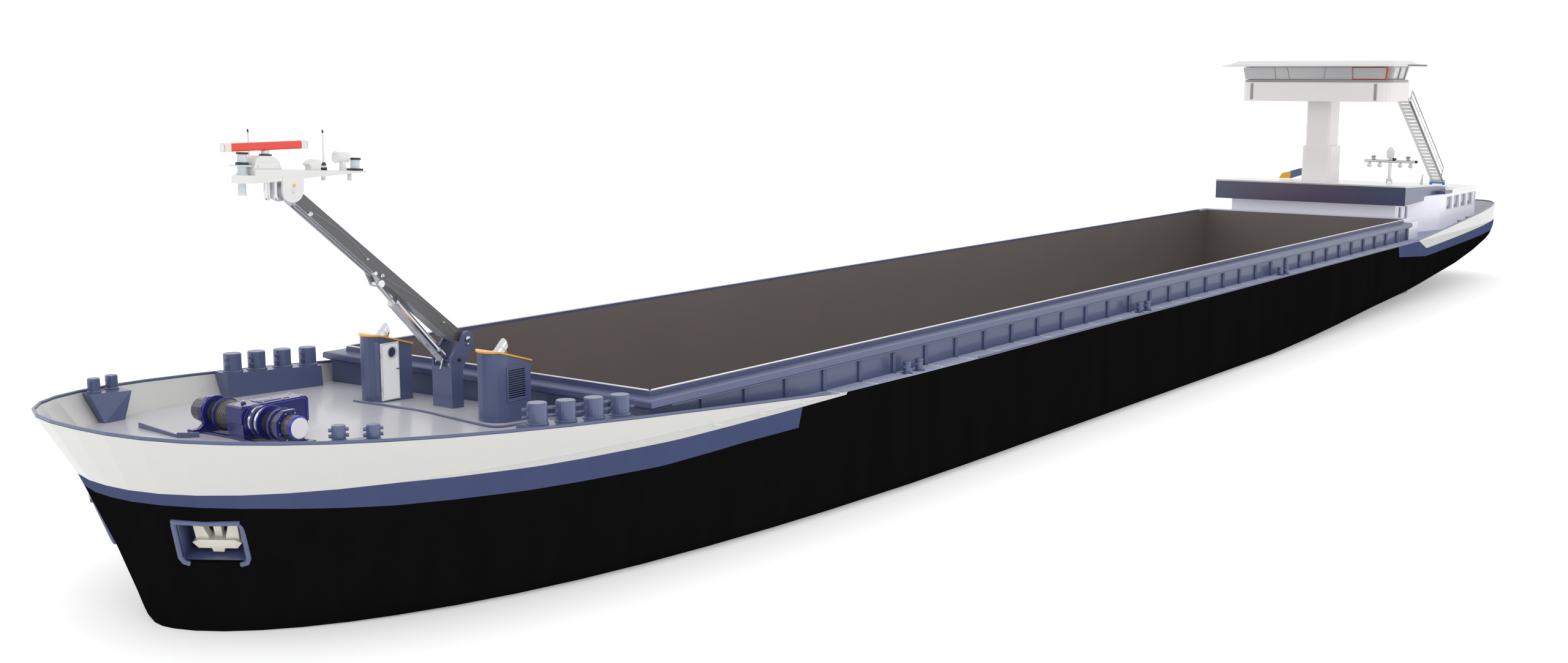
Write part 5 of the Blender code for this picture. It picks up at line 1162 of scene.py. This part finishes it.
aftMastSet = {
    "foot": (-59.2, 1.57, 5.0), "yard": (0, 0, 0.93),
    "lanterns": (-0.82, 0.86),
    "lantern": ((1.045, 0.05), (1.05, 0.108), (1.08, 0.112), (1.09, 0.09), (1.13, 0.09),
                (1.14, 0.112), (1.18, 0.108), (1.185, 0.0)),
    "beaconAt": (0, 0.2, 0), "beacon": ((0.94, 0.068), (0.95, 0.10), (1.08, 0.10), (1.09, 0.068)),
    "plug": ((0, 1.20, 0), (0, 1.32, 0)), "plugRadius": 0.072,
    "domeRing": ((1.08, 0.165), (1.10, 0.172), (1.12, 0.165)),
    "pole": ((0.14, 0.07), (0.15, 0.095), (0.85, 0.085), (0.86, 0.07)),
    "yardTube": ((-1.22, 0.06), (-1.21, 0.085), (1.14, 0.085), (1.15, 0.06)),
    "spots": (-1.0, -0.5, 0.5, 1.0), "lensAt": (0.12, 0, 0.72), "lensAxis": (1, 0, 0.2),
    "lens": ((0.0, 0.0), (0.004, 0.08), (0.012, 0.094), (-0.01, 0.094)),
    "shade": ((-0.05, -0.10, 0.66), (0.09, 0.10, 0.80)), "shadeEdge": 0.03,
    "strip": ((-0.075, -0.012, 0.15), (-0.055, 0.012, 0.85)), "stripEdge": 0.004,
}


def makeAftMast():
    shape = bmesh.new()
    foot = Vector(aftMastSet["foot"])
    yard = foot + Vector(aftMastSet["yard"])
    for y in aftMastSet["lanterns"]:
        addTurned(shape, aftMastSet["lantern"], foot + Vector((0, y, 0)))
    addTurned(shape, aftMastSet["beacon"], foot + Vector(aftMastSet["beaconAt"]), upZ, 0, 20)
    plug = [yard + Vector(end) for end in aftMastSet["plug"]]
    addRod(shape, *plug, aftMastSet["plugRadius"])
    addTurned(shape, aftMastSet["domeRing"], foot, upZ, 1, 24)
    addTurned(shape, aftMastSet["pole"], foot, upZ, 1, 20)
    addTurned(shape, aftMastSet["yardTube"], yard, acrossY, 1, 20)
    for y in aftMastSet["spots"]:
        aside = foot + Vector((0, y, 0))
        addTurned(shape, aftMastSet["lens"], aside + Vector(aftMastSet["lensAt"]),
                  aftMastSet["lensAxis"], 1, 20)
        corners = [aside + Vector(corner) for corner in aftMastSet["shade"]]
        addBox(shape, *corners, aftMastSet["shadeEdge"], 2)
    corners = [foot + Vector(corner) for corner in aftMastSet["strip"]]
    addBox(shape, *corners, aftMastSet["stripEdge"])
    fitted("aftMastLamps", "aft_mast", shape, ["black", "chrome", "white"])


# Aft deck: a bollard pair on each side, and two chocks on the rising edge to port

aftDeckSet = {
    "bollardX": (-63.9, -63.35), "bollardY": 4.9,
    "bollard": ((2.90, 0.16), (2.92, 0.16), (2.93, 0.10), (3.22, 0.10), (3.23, 0.12), (3.26, 0.12),
                (3.27, 0.0)),
    "chocks": (-57.2, -58.6), "chockRise": 0.053, "chockHalf": 0.18, "chockY": (5.50, 5.60),
    "chockZ": (3.27, 3.36), "chockEdge": 0.02,
}


def makeAftDeck():
    shape = bmesh.new()
    for side in bothSides:
        for x in aftDeckSet["bollardX"]:
            spot = (x, side * aftDeckSet["bollardY"], 0)
            addTurned(shape, aftDeckSet["bollard"], spot, upZ, 0, 20)
    half, (near, far) = aftDeckSet["chockHalf"], aftDeckSet["chockY"]
    for x in aftDeckSet["chocks"]:
        lift = aftDeckSet["chockRise"] * (aftDeckSet["chocks"][0] - x)
        low, high = [z + lift for z in aftDeckSet["chockZ"]]
        addBox(shape, (x - half, near, low), (x + half, far, high), aftDeckSet["chockEdge"])
    fitted("sternFittings", "barge", shape, ["blue"])


# Anchor pockets: a dark back as painted shade, blue sides inside the frames, and the frames' top bar

pocketSet = {
    "centre": (8.44, 1.68, 1.90), "heading": 33.4, "lean": 20.0,
    "half": (0.60, 0.43), "depth": 0.52, "mouth": -0.06,
    "backPlay": 0.002, "backFaces": (0.001, 0.002), "backEdge": 0.0002,
    "sidePlay": 0.001, "skin": 0.006, "sideEdge": 0.001,
    "bar": ((-0.63, 0.03), (-0.4, 0.058), (0.0, 0.088), (0.4, 0.066), (0.63, 0.05)),
    "barUp": 0.475, "barRadius": 0.05,
}


def makePockets():
    shape = bmesh.new()
    back, mouth = -pocketSet["depth"], pocketSet["mouth"]
    inner, outer = [back + out for out in pocketSet["backFaces"]]
    backY, backZ = [half - pocketSet["backPlay"] for half in pocketSet["half"]]
    wideY, wideZ = [half - pocketSet["sidePlay"] for half in pocketSet["half"]]
    slimY, slimZ = [half - pocketSet["skin"] for half in pocketSet["half"]]
    x, y, z = pocketSet["centre"]
    for side in bothSides:
        matrix = (Matrix.Translation((x, side * y, z))
                  @ Matrix.Rotation(radians(side * pocketSet["heading"]), 4, "Z")
                  @ Matrix.Rotation(radians(pocketSet["lean"]), 4, "Y"))
        addBox(shape, (inner, -backY, -backZ), (outer, backY, backZ), pocketSet["backEdge"], 1,
               matrix)
        for low, high in (((back, -wideY, -wideZ), (mouth, -slimY, wideZ)),
                          ((back, slimY, -wideZ), (mouth, wideY, wideZ)),
                          ((back, -wideY, slimZ), (mouth, wideY, wideZ)),
                          ((back, -wideY, -wideZ), (mouth, wideY, -slimZ))):
            addBox(shape, low, high, pocketSet["sideEdge"], 0, matrix)
        bar = [matrix @ Vector((out, side * across, pocketSet["barUp"]))
               for across, out in pocketSet["bar"]]
        addPath(shape, bar, pocketSet["barRadius"], 12)
    fitted("pocketLining", "barge", shape, ["blue", "inner"])


makeForedeck()
makeWinch()
makeWinchFrame()
makeDoor()
makeBowHouses()
print("bow fitted")
makeBoom()
makeCylinder()
makeHead()
makeScanner()
makePedestal()
makeSideDecks()
makeCoamingBeads()
print("mast and side decks fitted")
makeDeckhouse()
makeWheelhouse()
makeStairs()
makeAftMast()
makeAftDeck()
makePockets()
print("stern fitted")


# Floor and studio light. Lights are name, place, target, size and power.

studioSet = {
    "floor": 400.0, "floorNoise": (0.4, 3.0), "floorTones": (0.93, 0.95),
    "white": (1.0, 1.0, 1.0, 1.0), "sky": 1.0,
    "lights": (("keyLight", (30, 30, 28), (4, 0, 1), (24, 24), 1500.0),
               ("fillLight", (34, -26, 16), (8, 0, 1), (24, 16), 500.0)),
}


def makeFloor():
    shape = bmesh.new()
    bmesh.ops.create_grid(shape, x_segments=1, y_segments=1, size=studioSet["floor"] / 2)
    mesh = bpy.data.meshes.new("studioFloor")
    shape.to_mesh(mesh)
    shape.free()
    floor = bpy.data.objects.new("studioFloor", mesh)
    bpy.context.scene.collection.objects.link(floor)
    paint = Paint("floorPaint", {"Roughness": 0.6, "Specular IOR Level": 0.1,
                                 "Emission Strength": 0.3, "Emission Color": studioSet["white"]})
    tones = [(tone, tone, tone, 1.0) for tone in studioSet["floorTones"]]
    paint.feed("Base Color", paint.mix(paint.noise(*studioSet["floorNoise"]), *tones))
    mesh.materials.append(paint.material)


def makeLight(name, location, target, size, power):
    data = bpy.data.lights.new(name, "AREA")
    data.shape = "RECTANGLE"
    data.size, data.size_y = size
    data.energy = power
    light = bpy.data.objects.new(name, data)
    light.location = location
    direction = Vector(target) - Vector(location)
    light.rotation_euler = direction.to_track_quat("-Z", "Y").to_euler()
    bpy.context.scene.collection.objects.link(light)


makeFloor()
for lightRow in studioSet["lights"]:
    makeLight(*lightRow)
world = bpy.data.worlds.new("studioSky")
world.use_nodes = True
world.node_tree.nodes["Background"].inputs["Color"].default_value = studioSet["white"]
world.node_tree.nodes["Background"].inputs["Strength"].default_value = studioSet["sky"]
bpy.context.scene.world = world
bpy.context.scene.view_settings.view_transform = "Standard"
print("studio lit")

bpy.context.view_layer.update()
